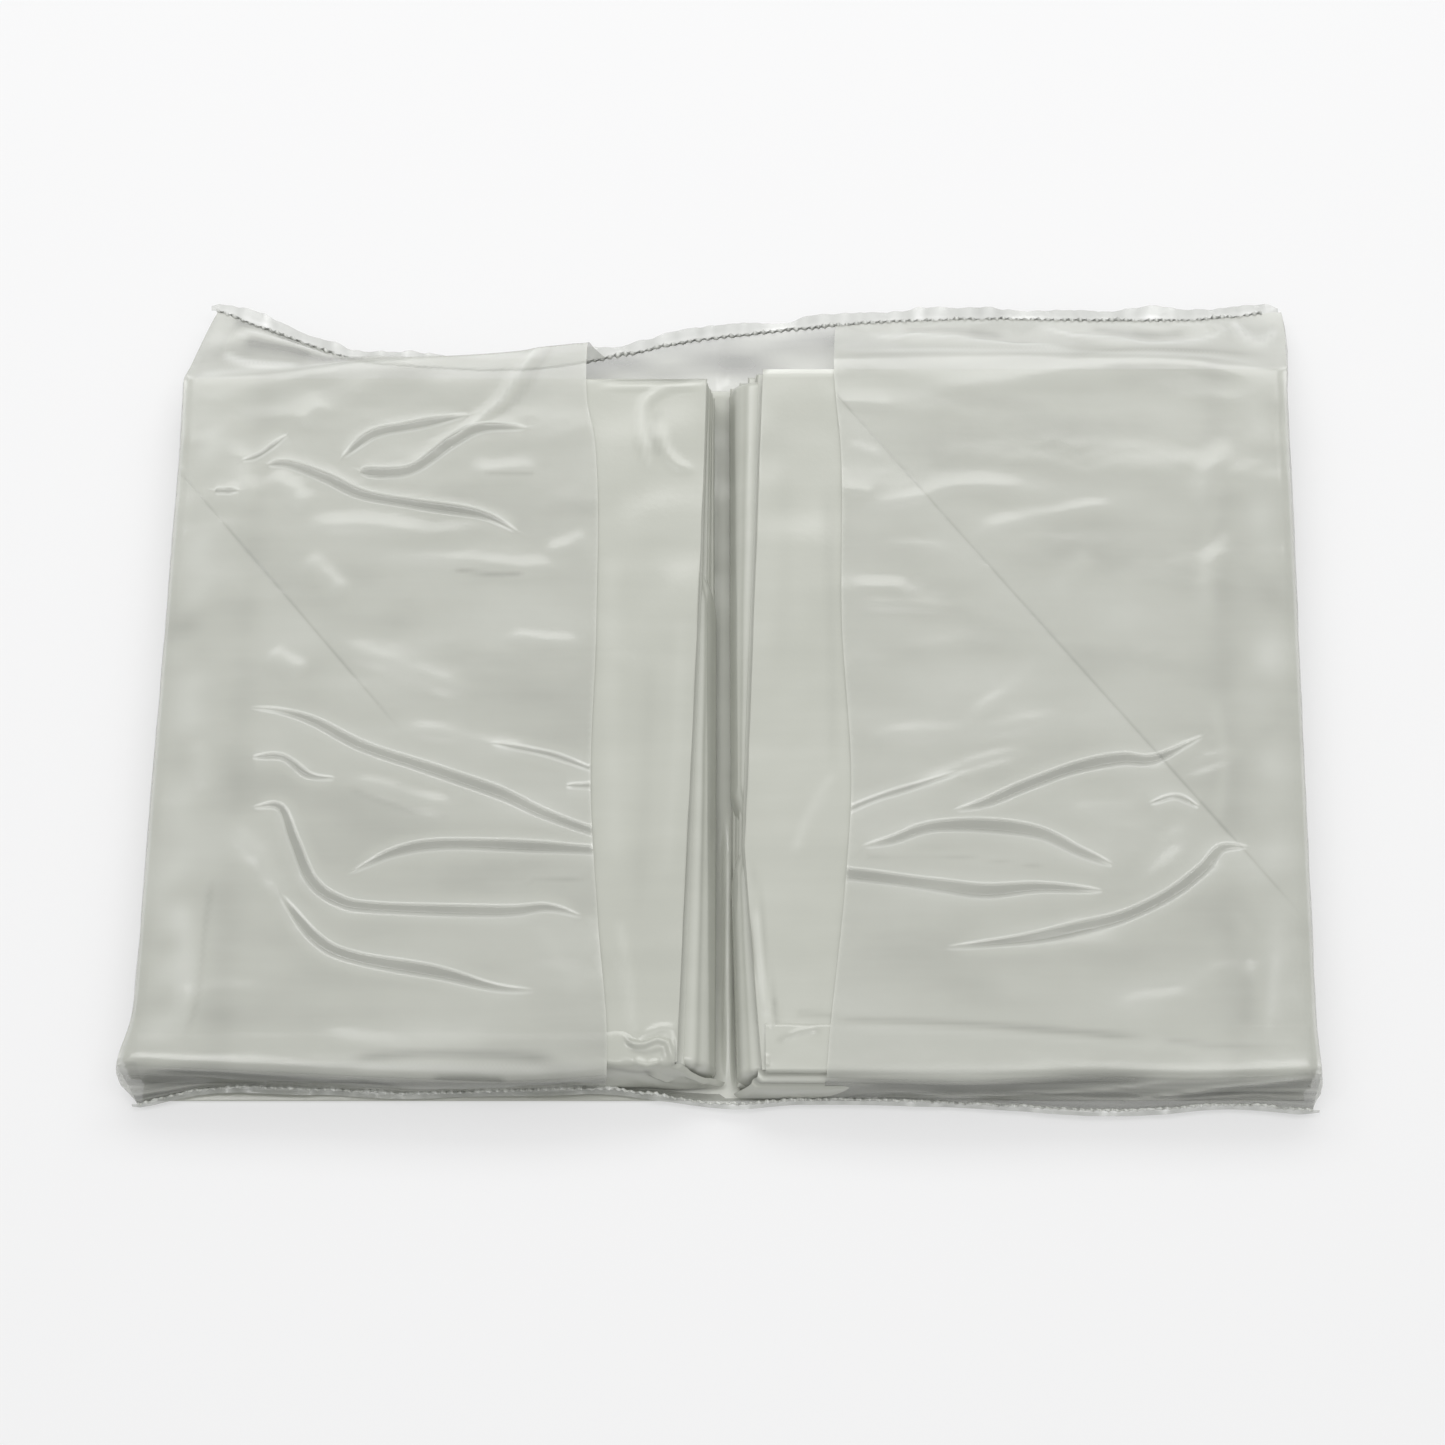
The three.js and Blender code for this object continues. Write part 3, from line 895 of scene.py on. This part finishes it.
def front_film(half):
    """The sleeve's front film of one half, as two pieces that meet at SEAM_T."""
    flat, faces = film_mesh(half)
    place, tone = raise_film(half, flat)
    a, b, c = place[faces[:, 0]], place[faces[:, 1]], place[faces[:, 2]]
    if np.cross(b - a, c - a)[:, 2].sum() < 0:
        faces = faces[:, ::-1]
    normals = smooth_normals(place, faces)
    beyond = flat[faces][:, :, 1].mean(1) > SEAM_T
    for end, here in (("far", beyond), ("near", ~beyond)):
        used, index = np.unique(faces[here], return_inverse=True)
        obj = mesh_object(f"{half}_front_film_{end}", place[used], index.reshape(-1, 3), SLEEVE, tone[used])
        obj.data.normals_split_custom_set_from_vertices(normals[used].tolist())
        root = stack_end(half, end) + ENDS[end]["outward"] * 2
        nodes = [f"{half}_{end}_fin"] + ([f"{half}_front_flap"] if end == "far" else [])
        bend_piece(obj, (f"{half}_half", f"{half}_flap"), (0, root, FLAP_TOP), (0, SEAM_T, FLAP_TOP),
                   "sleeve_film", *nodes)


SIDE_DRAPE = 14.0                        # the side film's height as its creases see it


def side_film(half):
    """The sleeve's side wall of one half, with the gussets that close to the seals' tips. It swells out,
    the leaves' folds press through it, and it is creased."""
    side = HALVES[half]
    low, high = film_span(half)
    t = np.array([low, *film_rows(half), high])[:, None]
    w = np.linspace(0, 1, 33)
    top = sleeve_point(half, crease_x(side, t), t, True)
    down = sleeve_point(half, crease_x(side, t), t, False) - top
    points = top + down * w[:, None]
    first = middle_z(f"{half}_leaf_1")
    pitch = middle_z(f"{half}_leaf_2") - first
    press = 0.12 * np.cos((points[..., 2] - first) / pitch * 2 * math.pi)
    crease = ripples(63 + side, 26, (5, 26), 0.1, 0.3)(t, w * SIDE_DRAPE)
    swell = 1.25 + ripples(61 + side, 20, (24, 80), 0.0, 0.16)(t, w * SIDE_DRAPE) + press + 0.5 * crease
    points[..., 0] += side * swell * np.sin(np.pi * w) * np.minimum(1, np.linalg.norm(down, axis=-1) / 10)
    # Painted light and shade: lighter where the leaves' folds press out, darker in the creases.
    obj = mesh_object(f"{half}_side_film", points, grid_faces(len(t), len(w), side < 0), SLEEVE,
                      0.8 * press + 0.5 * crease)
    finish_piece(obj, half, "sleeve_film", f"{half}_sleeve_side")


def back_tone(x, y):
    """The back film is painted darker, with streaks, past the stacks' ends where it is drawn up to the beads:
    painted shade.
    """
    folds = ripples(57, 20, (4, 24), 0.7, 0.5)(x, y)
    return 0.1 + (0.8 * folds - 0.3) * smooth(90, 96, y) + (folds - 0.9) * smooth(-108, -111, y)


def back_film():
    """The sleeve's back from side to side, rising past the stacks' ends to the beads."""
    u, share = np.linspace(0, 1, 150)[:, None], np.linspace(0, 1, 190)
    parts = []
    for half, side in HALVES.items():
        low, high = film_span(half)
        t = low + (high - low) * u
        from_fold = np.abs(1 - 2 * share[(share - 0.5) * side > 0])
        s = FOLD_X + (crease_x(side, t) - FOLD_X) * from_fold
        parts.append(sleeve_point(half, s, t, False))
    points = np.concatenate(parts, axis=1)
    obj = mesh_object("back_film", points, grid_faces(len(u), len(share), True), SLEEVE,
                      back_tone(points[..., 0], points[..., 1]))
    fold_piece(obj, 5, "sleeve_film", "left_sleeve_back", "right_sleeve_back")


# ---------------------------------------------------------------- the folded sheet

# Painted highlights and painted shade of the top ply between the lips, along its folds and curls: points,
# half width, tone.
SHEET_SHADES = {
    "left": [
        ([(-32, 40), (-31, -20), (-29, -60)], 3.0, 0.1),
        ([(-21, 10), (-22, -30), (-24, -70)], 2.2, -0.08),
        ([(-38, 87.6), (-20, 87.8), (-4, 88)], 0.55, -0.5),
        ([(-38, 86.3), (-20, 86.5), (-4, 86.8)], 0.55, 0.35),
        (PLY_CURL, 0.9, 0.22),
        ([(-19, 64), (-21, 72), (-19, 80)], 1.2, -0.2),
        ([(-29, -66), (-26, -82), (-25, -96)], 1.4, 0.14),
        ([(-13, 20), (-14, -20), (-17, -60)], 1.8, 0.08),
    ],
    "right": [
        ([(6.2, -62), (7.2, -74), (9.3, -92), (9.6, -102)], 0.8, 0.3),
        ([(11, -88), (12, -95), (11, -100)], 0.7, -0.25),
        ([(16, -92.5), (24, -93.2), (29, -94)], 0.8, -0.25),
        ([(6, -50), (9, -74), (12, -98)], 0.6, -0.22),
        ([(14, 88), (15, 40), (13, 0)], 2.4, -0.06),
        ([(16, -50), (21, -37), (28, -26)], 1.3, 0.12),
        ([(26, 60), (27, 10), (27, -30)], 1.6, -0.12),
    ],
}

def rounded(count, edge):
    """Positions across a slab from 0 to 1 crowded at both ends, and the share of its thickness there."""
    turn = np.linspace(0, math.pi / 2, 5)
    near = edge * (1 - np.cos(turn))
    middle = np.linspace(edge, 1 - edge, count)[1:-1]
    u = np.concatenate([near, middle, 1 - near[::-1]])
    thick = np.concatenate([np.sin(turn), np.ones(len(middle)), np.sin(turn[::-1])])
    return u, thick


def underside(rows, columns, flip):
    """Quads over a second grid, stored after the first, that shares the first one's border points."""
    total = rows * columns
    border = {i for i in range(total) if i // columns in (0, rows - 1) or i % columns in (0, columns - 1)}
    return [tuple(i if i in border else i + total for i in f) for f in grid_faces(rows, columns, flip)]


def slab(inner, outer, near, far, z, thickness, counts, relief=None):
    """One ply of folded film: a thin pillow with rolled edges. inner and outer give X over Y."""
    width = abs(float(outer(0)) - float(inner(0)))
    u, thick_u = rounded(counts[0], thickness / 2 / width)
    v, thick_v = rounded(counts[1], thickness / 2 / (far - near))
    y = (near + (far - near) * v)[:, None]
    x = inner(y) + (outer(y) - inner(y)) * u
    y = np.repeat(y, len(u), 1)
    share = np.minimum(thick_u, thick_v[:, None])
    half = thickness / 2 * share
    lift = np.zeros(x.shape) if relief is None else relief(x, y) * smooth(0.2, 1, share)
    top = np.stack([x, y, z + half + lift], -1).reshape(-1, 3)
    under = np.stack([x, y, z - half + np.minimum(lift, 0)], -1).reshape(-1, 3)
    flip = float(outer(0)) < float(inner(0))
    faces = grid_faces(*x.shape, flip) + underside(*x.shape, not flip)
    used, index = np.unique(np.array(faces), return_inverse=True)
    return np.vstack([top, under])[used], index.reshape(-1, 4)


PLIES = 2                                # rolled plies drawn in each leaf
LEAF_SPREAD = 0.28                       # the plies take up this much of the gaps between the leaves
PLY_GAP = 0.03
PLY_STEP = 0.35                          # the top ply's fold stands out past the others by this
NEAR_STEP = {"left": 0.6, "right": 1.2}  # how far the bottom leaf's near end stands out past the top one's
GLINT_Y = 90.0                           # past this the right stack's top ply dips at its far edge, and a painted glint lies along it


def leaf_piece(half, number):
    """One leaf of the stack: rolled plies whose folds and ends don't quite line up."""
    side = HALVES[half]
    node = f"{half}_leaf_{number}"
    low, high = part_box(node)
    pitch = ((high.z - low.z) / MM + LEAF_SPREAD) / PLIES
    near, far = low.y / MM - NEAR_STEP[half] * (LEAVES - number) / (LEAVES - 1), high.y / MM
    rng = np.random.default_rng(100 + number + (50 if side > 0 else 0))
    fold = edge_line(node, -side)
    parts = []
    for ply in range(PLIES):
        top_ply = number == LEAVES and ply == PLIES - 1
        shift = rng.uniform(-0.12, 0.12) + (0 if top_ply else PLY_STEP)
        sway, phase, inset = rng.uniform(0.08, 0.22), rng.uniform(0, 6), rng.uniform(0.5, 0.9)

        def inner(y, shift=shift, sway=sway, phase=phase):
            return fold(y) + side * (shift + sway * np.sin(np.asarray(y) / 27 + phase))

        def outer(y, inset=inset):
            return crease_x(side, y) + side * (0.8 * flare(half, y) - inset)
        ends = near + rng.uniform(0.3, 0.7), far - rng.uniform(0, 0.6)
        z = low.z / MM + pitch * (ply + 0.5) - LEAF_SPREAD / 2
        counts, relief = ((110, 190), sheet_relief(half)) if top_ply else ((10, 60), None)
        parts.append(slab(inner, outer, *ends, z, pitch - PLY_GAP, counts, relief))
    points, faces = join_parts(parts)
    tone = top_tone(half, points[:, 0], points[:, 1]) if number == LEAVES else None
    obj = mesh_object(f"{node}_plies", points, faces, SHEET, tone)
    finish_piece(obj, half, "sheet_film", node)


def top_tone(half, x, y):
    """The tone of the top leaf: its painted highlights and shade, with a painted glint on the right stack's
    far edge.
    """
    tone = shade_field(SHEET_SHADES[half], x, y)
    if half == "right":
        # A painted glint along the right stack's far edge.
        tone = tone + 1.0 * smooth(GLINT_Y - 0.1, GLINT_Y + 0.4, y) * smooth(34, 30, x) * smooth(9, 11, x)
    return tone


def join_parts(parts):
    """Points and faces of several parts as one mesh."""
    points, faces, total = [], [], 0
    for part_points, part_faces in parts:
        points.append(part_points)
        faces.append(part_faces + total)
        total += len(part_points)
    return np.vstack(points), np.vstack(faces)


def sheet_relief(half):
    """Waves of the top ply, which shows between the flaps, with its dents and curls. Under the flap it
    stays below the film."""
    side = HALVES[half]
    waves = ripples(71 + side, 22, (14, 60), 0.1, 0.3)

    def at(x, y):
        free = smooth(0.5, -3.5, (x - LIPS[half](y)) * side)
        lift = 0.3 * np.tanh(waves(x, y) / 0.3) * (0.3 + 0.7 * free)
        lift = lift + ridge_field(SHEET_RIDGES[half], x, y) * free + step_field(half, x, y)[0] - 0.35
        if side > 0:
            lift = lift - 0.2 * np.clip(y - GLINT_Y, 0, 3) * smooth(35, 30, x)
        return lift
    return at


# Where the film rolls broadly over a stack's inner side: the half, and the y of the roll's thin end and of
# its wide end.
ROLLS = {
    "right_roll_ply": ("right", -46, 91),
    "right_turn_ply": ("right", -38, -109.2),
    "left_roll_ply": ("left", 40, -107.2),
}
ROLL_ROWS, ROLL_COLUMNS = 150, 34
ROLL_FOOT = 1.6                          # the height at which the rolls meet the channel's floor

# The rolls stay this far from the fold plane for each millimetre of height, so that they clear each other
# when the halves are folded up together.
FOLDED_SLOPE = 1.04 * math.tan(math.radians(JOINTS["book_fold"]["range_deg"][1] / 2))


def roll_tone(side, turn):
    """Painted highlight bands and painted shade along a roll, whose film turns from its foot, 0, to its head,
    1.
    """
    roll_light_and_shade = 0.25 * np.exp(-((turn - 0.45) / 0.12) ** 2) + 0.16 * np.exp(-((turn - 0.74) / 0.06) ** 2)
    if side < 0:
        roll_light_and_shade = roll_light_and_shade - 0.3 * np.exp(-((turn - 0.62) / 0.05) ** 2) - 0.3 * smooth(0.8, 0.95, turn)
    return roll_light_and_shade


def roll_ply(name):
    """The broad roll of film on a stack's inner side. It narrows to nothing at one end."""
    half, thin, wide = ROLLS[name]
    side = HALVES[half]
    turn = np.linspace(0, 1, ROLL_COLUMNS)
    fold, top_fold = edge_line(f"{half}_leaf_1", -side), edge_line(f"{half}_leaf_5", -side)
    shake = ripples(91 + side, 14, (12, 60), 0.4, 0.25)
    points = []
    for here in np.linspace(thin, wide, ROLL_ROWS):
        from_thin, from_wide = abs(here - thin), abs(here - wide)
        grown = smooth(thin, thin + 0.55 * (wide - thin), here)
        dive = side * (3.5 * smooth(18, 0, from_thin) + 2.6 * smooth(3, 0, from_wide) ** 2)
        foot, head = fold(here) - side * 0.1 + dive, top_fold(here) + dive
        bulge = foot + (head - foot) * (0.4 + 0.15 * (1 - grown))
        x = bezier(foot, foot - side * 0.2, bulge, head + side * 1.5, turn)
        cap = math.sqrt(1 - (1 - min(1.0, from_wide / 3)) ** 2)
        z = ROLL_FOOT + (bezier(ROLL_FOOT, 10.5, 13.4, 12.95, turn) - ROLL_FOOT) * (0.25 + 0.75 * cap)
        sway = shake(np.full(turn.shape, here), turn * 12) * np.sin(np.pi * turn)
        groove = 0.22 * np.exp(-((turn - 0.6) / 0.06) ** 2)
        x = x + sway * 0.4 + side * groove
        clear = np.maximum((x - FOLD_X) * side, FOLDED_SLOPE * z)
        points.append(np.stack([FOLD_X + side * clear, np.full(turn.shape, here), z], -1))
    faces = grid_faces(ROLL_ROWS, ROLL_COLUMNS, (wide - thin) * side > 0)
    obj = mesh_object(name, np.vstack(points), faces, SHEET, np.tile(roll_tone(side, turn), ROLL_ROWS))
    finish_piece(obj, half, "sheet_film")


# The outer ply that hangs over a stack's near end, from the top down, as (y, z).
END_PLIES = {
    "left": [(-96.5, 15.3), (-100.5, 15.95), (-104.3, 15.9), (-106.3, 15.0), (-107.4, 12.5), (-108.0, 8),
             (-108.6, 3)],
    "right": [(-95.3, 15.5), (-96.4, 15.95), (-103, 15.9), (-107.4, 15.8), (-108.1, 15.3), (-108.2, 14.0),
              (-108.5, 13.5), (-109.6, 13.4), (-110.1, 13.0), (-110.1, 11.6), (-110.4, 10.9),
              (-111.2, 9.8), (-111.5, 3)],
}
# Crumples of that ply: x and the distance along it, half width, height.
END_FOLDS = {
    "left": [
        ([(-28, 0.5), (-25.5, 4), (-22, 4.6), (-18.5, 3.2), (-16, 4), (-15, 7.5), (-14.5, 11)], 1.0, 0.75),
        ([(-25, 8.5), (-21, 10), (-17, 8.5)], 1.1, 0.7),
        ([(-21, 12), (-18, 15), (-14.5, 18.5)], 1.1, 0.8),
        ([(-38, 9.5), (-31, 9.2), (-26, 10.5)], 1.4, 0.4),
        ([(-12, 13), (-8, 17), (-5, 20)], 1.6, 0.6),
    ],
    "right": [
        ([(13, 5), (17, 2.8), (23, 1.6)], 1.2, 0.25),
        ([(9, 8), (9.5, 12)], 0.9, 0.3),
    ],
}
# Painted highlights and painted shade along that ply's crumples and ledges: x and the distance along it, half
# width, tone.
END_SHADES = {
    "left": [
        ([(-27, 1.5), (-24.5, 6), (-20, 6.6), (-17.5, 6), (-16.6, 9)], 0.8, -0.35),
        ([(-40, 11.2), (-30, 11), (-24, 12.5), (-18, 12)], 1.0, -0.45),
        ([(-22, 10.5), (-20, 14), (-16, 19)], 0.8, -0.4),
        ([(-16, 19), (-10, 20), (-4, 21)], 1.0, -0.3),
    ],
    "right": [
        ([(3, 14.6), (15, 14.6), (28, 14.6)], 0.45, -0.35),
        ([(2, 17.8), (15, 17.8), (28, 17.8)], 0.7, -0.5),
        ([(2, 16.2), (15, 16.2), (28, 16.2)], 0.5, 0.25),
        ([(11, 5.5), (16, 3.2), (24, 2.2)], 0.9, -0.2),
    ],
}


def ply_line(half):
    """An end ply's outline from the top down: points (y, z), the distance along it and its normals."""
    line = through(END_PLIES[half], 0.3)
    steps = np.linalg.norm(np.diff(line, axis=0), axis=1)
    tangent = np.gradient(line, axis=0)
    tangent /= np.linalg.norm(tangent, axis=1)[:, None]
    return line, np.concatenate([[0], np.cumsum(steps)]), np.stack([tangent[:, 1], -tangent[:, 0]], 1)


def end_ply_x(half, height, end):
    """X over an end ply at each height: from the leaves' folds, crowded there, to the outer crease."""
    side = HALVES[half]
    leaves = [f"{half}_leaf_{number + 1}" for number in range(LEAVES)]
    folds = [float(edge_line(leaf, -side)(end)) for leaf in leaves]
    inner = np.interp(height, [middle_z(leaf) for leaf in leaves], folds)
    inner = inner - side * (0.7 - 1.3 * smooth(13.5, 15, height))
    inner = inner - side * (2.0 if side < 0 else 0.2) * smooth(9, 3, height)
    outer = crease_x(side, end) - side * 1.5
    return inner[:, None] + (outer - inner[:, None]) * np.linspace(0, 1, 230) ** 1.25


def end_ply(half):
    """The sheet's outer ply over a stack's near end: it lies on the top leaf, and hangs down the end."""
    side, end = HALVES[half], stack_end(half, "near")
    line, along, normal = ply_line(half)
    level, height = line[:, :1], line[:, 1:]
    x = end_ply_x(half, line[:, 1], end)
    a = np.repeat(along[:, None], x.shape[1], 1)
    from_lip, from_fold = (x - LIPS[half](end)) * side, (x - x[:, :1]) * side
    slack, free = 1 - 0.5 * smooth(0, 16, from_lip), smooth(6, -2, from_lip)
    wrinkle = ripples(121 + side, 20, (6, 26), 0.3, 0.3)(x, a) * (0.3 + 0.7 * free)
    wrinkle = wrinkle * smooth(0, 5, a) * (1 if side < 0 else 0.4)
    relief = np.maximum(wrinkle, -0.15) + ridge_field(END_FOLDS[half], x, a) * free
    y = np.where(level > end, level, end + (level - end) * slack) + normal[:, :1] * relief
    y = y + 0.5 * np.clip(1.6 - from_fold, 0, 1.6) ** 2 * smooth(15.5, 14, height)
    points = np.stack([x, y, height + normal[:, 1:] * relief], -1)
    # Painted light and shade of the crumples, where the ply hangs free.
    tone = shade_field(END_SHADES[half], x, a) * free
    obj = mesh_object(f"{half}_end_ply", points, grid_faces(*x.shape, side > 0), SHEET, tone)
    finish_piece(obj, half, "sheet_film")


CHANNEL_TAIL = 3.6                       # how far the channel's floor runs on past the stacks' near ends
# Folds of the channel's floor: points, half width, height.
CHANNEL_FOLDS = [
    ([(-0.6, -30), (-0.6, -60), (-0.6, -90), (-0.4, -112)], 1.1, 2.0),
    ([(-4, 80), (-4.5, 40), (-4, 10)], 1.2, 0.5),
]
# Painted highlights and painted shade of the channel's floor, along its folds and at its near end: points,
# half width, tone.
CHANNEL_SHADES = [
    ([(-16, -110), (-4, -110.3), (8, -110)], 2.4, 0.45),
    ([(-3.6, 92), (-3.6, 0), (-3.2, -104)], 1.3, -0.4),
    ([(-0.6, -40), (-0.6, -80), (-0.4, -112)], 0.8, 0.4),
    ([(0.9, -40), (0.9, -80), (1.1, -112)], 0.5, -0.4),
]


def bottom_ply():
    """The ply that runs across the channel and joins the stacks."""
    boxes = [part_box(f"{half}_bottom_ply") for half in HALVES]
    low = min(box[0].y for box in boxes) / MM - CHANNEL_TAIL
    high = max(box[1].y for box in boxes) / MM
    waves = ripples(83, 12, (8, 40), 0.5, 0.18)

    def lift(x, y):
        return waves(x, y) + ridge_field(CHANNEL_FOLDS, x, y)

    def edge(side):
        return lambda y: crease_x(side, y) - side * 1.5
    p, f = slab(edge(-1), edge(1), low, high, middle_z("left_bottom_ply"), 0.5, (380, 120), lift)
    obj = mesh_object("channel_ply", p, f, SHEET, shade_field(CHANNEL_SHADES, p[:, 0], p[:, 1]))
    fold_piece(obj, 2.5, "sheet_film", "left_bottom_ply", "right_bottom_ply")


# ---------------------------------------------------------------- the seals

BEAD_STEP, BEAD_AROUND = 0.3, 8          # the bead's rings lie this far apart, with this many points each


def bead(end):
    """The bumpy bead along one end: a chain of small melted lumps, painted lighter, with gaps painted dark.
    """
    data = ENDS[end]
    look, (left, right) = data["bead"], data["tips"]
    x = np.arange(left - 0.5, right - look["short"], BEAD_STEP)
    rng = np.random.default_rng(look["seed"])
    turn = np.cumsum(BEAD_STEP / rng.uniform(1.4, 3.2, len(x))) * 2 * math.pi
    lump = np.sin(turn + 0.8 * np.sin(x / 4.1))
    swing = ripples(51, 18, (2, 14), 0.0, 1.0)(0 * x, x)
    radius = look["radius"] + look["lump"] * lump + rng.normal(0, 0.06, len(x))
    radius = np.maximum(radius * (0.85 + 0.25 * swing), 0.14)[:, None]
    y = data["bead_y"](x) + 0.16 * np.cos(turn) + 0.25 * swing
    z = data["bead_z"](x) + 0.15 * np.sin(turn * 0.5)
    angle = np.arange(BEAD_AROUND) / BEAD_AROUND * 2 * math.pi
    points = np.stack([
        np.repeat(x[:, None], BEAD_AROUND, 1),
        y[:, None] + radius * np.cos(angle),
        z[:, None] + radius * np.sin(angle),
    ], -1)
    # Painted light and shade: lighter on the lumps, darker in the gaps, with random flecks.
    tone = look["tone"] * lump + 0.3 * swing + rng.normal(0, 0.25, len(x))
    total = len(x) * BEAD_AROUND
    faces = grid_faces(len(x), BEAD_AROUND, data["outward"] > 0, closed=True)
    faces += [tuple(range(BEAD_AROUND)), tuple(range(total - BEAD_AROUND, total))[::-1]]
    obj = mesh_object(f"{end}_seal_bead", points, faces, BEADS[end], np.repeat(tone, BEAD_AROUND))
    fold_piece(obj, 6, "trim_seal", f"left_{end}_seal", f"right_{end}_seal")


def skirt(end):
    """The strip of film left outside a bead, wavy along its trimmed edge."""
    data = ENDS[end]
    look, (left, right) = data["skirt"], data["tips"]
    x = np.arange(left - 2.0, right + 2.0, 0.5)
    share = np.linspace(0, 1, 9)
    ruffle = ripples(look["seed"], 20, (9, 45), 0.0, 1.0)(0 * x, x)
    frill = ripples(19, 20, (2, 7), 0.0, 0.5)(0 * x, x)
    tips = smooth(-1, 6, x - x[0]) * smooth(-1, 6, x[-1] - x)
    edge = look["width"] * (1 + 0.22 * ruffle + 0.08 * frill) * (0.35 + 0.65 * tips)
    lift = (0.5 * ruffle + 0.25 * frill)[:, None] + look["lift"]
    points = np.stack([
        np.repeat(x[:, None], len(share), 1),
        data["bead_y"](x)[:, None] + data["outward"] * edge[:, None] * share,
        data["bead_z"](x)[:, None] + lift * share ** 1.3,
    ], -1)
    tone = 0.5 * frill[:, None] + 0.9 * np.exp(-((share - 0.2) / 0.2) ** 2) * np.abs(ruffle)[:, None]
    faces = grid_faces(len(x), len(share), data["outward"] > 0)
    obj = mesh_object(f"{end}_skirt", points, faces, SKIRT, tone + look["tone"])
    fold_piece(obj, 6, "trim_seal")


# ---------------------------------------------------------------- build

for half_name in HALVES:
    front_film(half_name)
    side_film(half_name)
back_film()
for half_name in HALVES:
    for leaf_number in range(1, LEAVES + 1):
        leaf_piece(half_name, leaf_number)
for roll_name in ROLLS:
    roll_ply(roll_name)
for half_name in HALVES:
    end_ply(half_name)
bottom_ply()
for end_name in ENDS:
    bead(end_name)
    skirt(end_name)


# ---------------------------------------------------------------- flat sizes, worked out and not kept


def declare_sleeve():
    """Works out each front film piece's mean width from crease to lip, and keeps none of it."""
    for half, side in HALVES.items():
        low, high = film_span(half)
        for end, near, far in (("far", SEAM_T, high), ("near", low, SEAM_T)):
            t = np.linspace(near, far, 60)
            width = float(np.mean(np.abs(LIPS[half](t) - crease_x(side, t))))
    low, high = film_span("left")


def declare_sheet():
    """Works out the length of each end ply's outline, and keeps none of it."""
    for half in HALVES:
        float(ply_line(half)[1][-1])


declare_sleeve()
declare_sheet()


# ---------------------------------------------------------------- stage, light and camera

FLOOR_REACH = 60.0                       # in metres


def stage():
    r = FLOOR_REACH
    mesh = bpy.data.meshes.new("floor")
    mesh.from_pydata([(-r, -r, 0), (r, -r, 0), (r, r, 0), (-r, r, 0)], [], [(0, 1, 2, 3)])
    material, tree, shader = node_material("floor")
    # The floor glows evenly by its emission, which thins the shadows beside the pack.
    feed(tree, shader, {"Base Color": (0.40, 0.40, 0.403, 1), "Emission Color": (1, 1, 1, 1),
                        "Emission Strength": 0.45, "Roughness": 0.9})
    mesh.materials.append(material)
    floor = bpy.data.objects.new("floor", mesh)
    bpy.context.scene.collection.objects.link(floor)


def area_light(name, azimuth, elevation, distance, size, power):
    """A soft light at an angle round the pack, aimed at it. Azimuth 0 is on the near side."""
    a, e = math.radians(azimuth), math.radians(elevation)
    place = Vector((math.sin(a) * math.cos(e), -math.cos(a) * math.cos(e), math.sin(e))) * distance
    data = bpy.data.lights.new(name, "AREA")
    data.shape, data.size, data.size_y, data.energy = "RECTANGLE", size[0], size[1], power
    lamp = bpy.data.objects.new(name, data)
    lamp.location = place
    lamp.rotation_mode = "QUATERNION"
    lamp.rotation_quaternion = (-place).to_track_quat("-Z", "Y")
    bpy.context.scene.collection.objects.link(lamp)


HORIZON, ZENITH = 0.10, 0.69     # the studio's brightness low down and overhead


def studio_world():
    world = bpy.data.worlds.new("studio")
    bpy.context.scene.world = world
    world.use_nodes = True
    tree = world.node_tree
    direction = add_node(tree, "ShaderNodeTexCoord", "Generated", {})
    height = add_node(tree, "ShaderNodeSeparateXYZ", "Z", {"Vector": direction})
    rise = map_range(tree, height, (0.0, 0.6), (HORIZON, ZENITH), interpolation_type="SMOOTHSTEP")
    feed(tree, tree.nodes["Background"], {"Strength": rise, "Color": (1, 1, 1, 1)})


def light():
    studio_world()
    area_light("far_box", 180, 48, 1.2, (1.5, 0.44), 6.6)
    area_light("top_box", 0, 88, 1.6, (1.0, 0.6), 1.8)
    area_light("left_box", -90, 70, 1.6, (0.4, 0.6), 2.6)
    area_light("right_box", 90, 70, 1.6, (0.4, 0.6), 2.6)


# The camera's elevation in degrees, its distance and target in metres, and its lens in millimetres.
CAMERA_ELEVATION = 68.0
CAMERA_DISTANCE = 0.944
CAMERA_TARGET = (-0.002, -0.01325, 0.0165)
CAMERA_LENS = 89.6


def camera():
    e = math.radians(CAMERA_ELEVATION)
    back = Vector((0, -math.cos(e), math.sin(e)))
    data = bpy.data.cameras.new("camera")
    data.lens, data.sensor_width, data.clip_start, data.clip_end = CAMERA_LENS, 36.0, 0.05, 200
    cam = bpy.data.objects.new("camera", data)
    cam.location = Vector(CAMERA_TARGET) + back * CAMERA_DISTANCE
    cam.rotation_mode = "QUATERNION"
    cam.rotation_quaternion = (-back).to_track_quat("-Z", "Y")
    bpy.context.scene.collection.objects.link(cam)
    bpy.context.scene.camera = cam


stage()
light()
camera()
bpy.context.scene.view_settings.view_transform = "Standard"
bpy.context.scene.view_settings.look = "None"
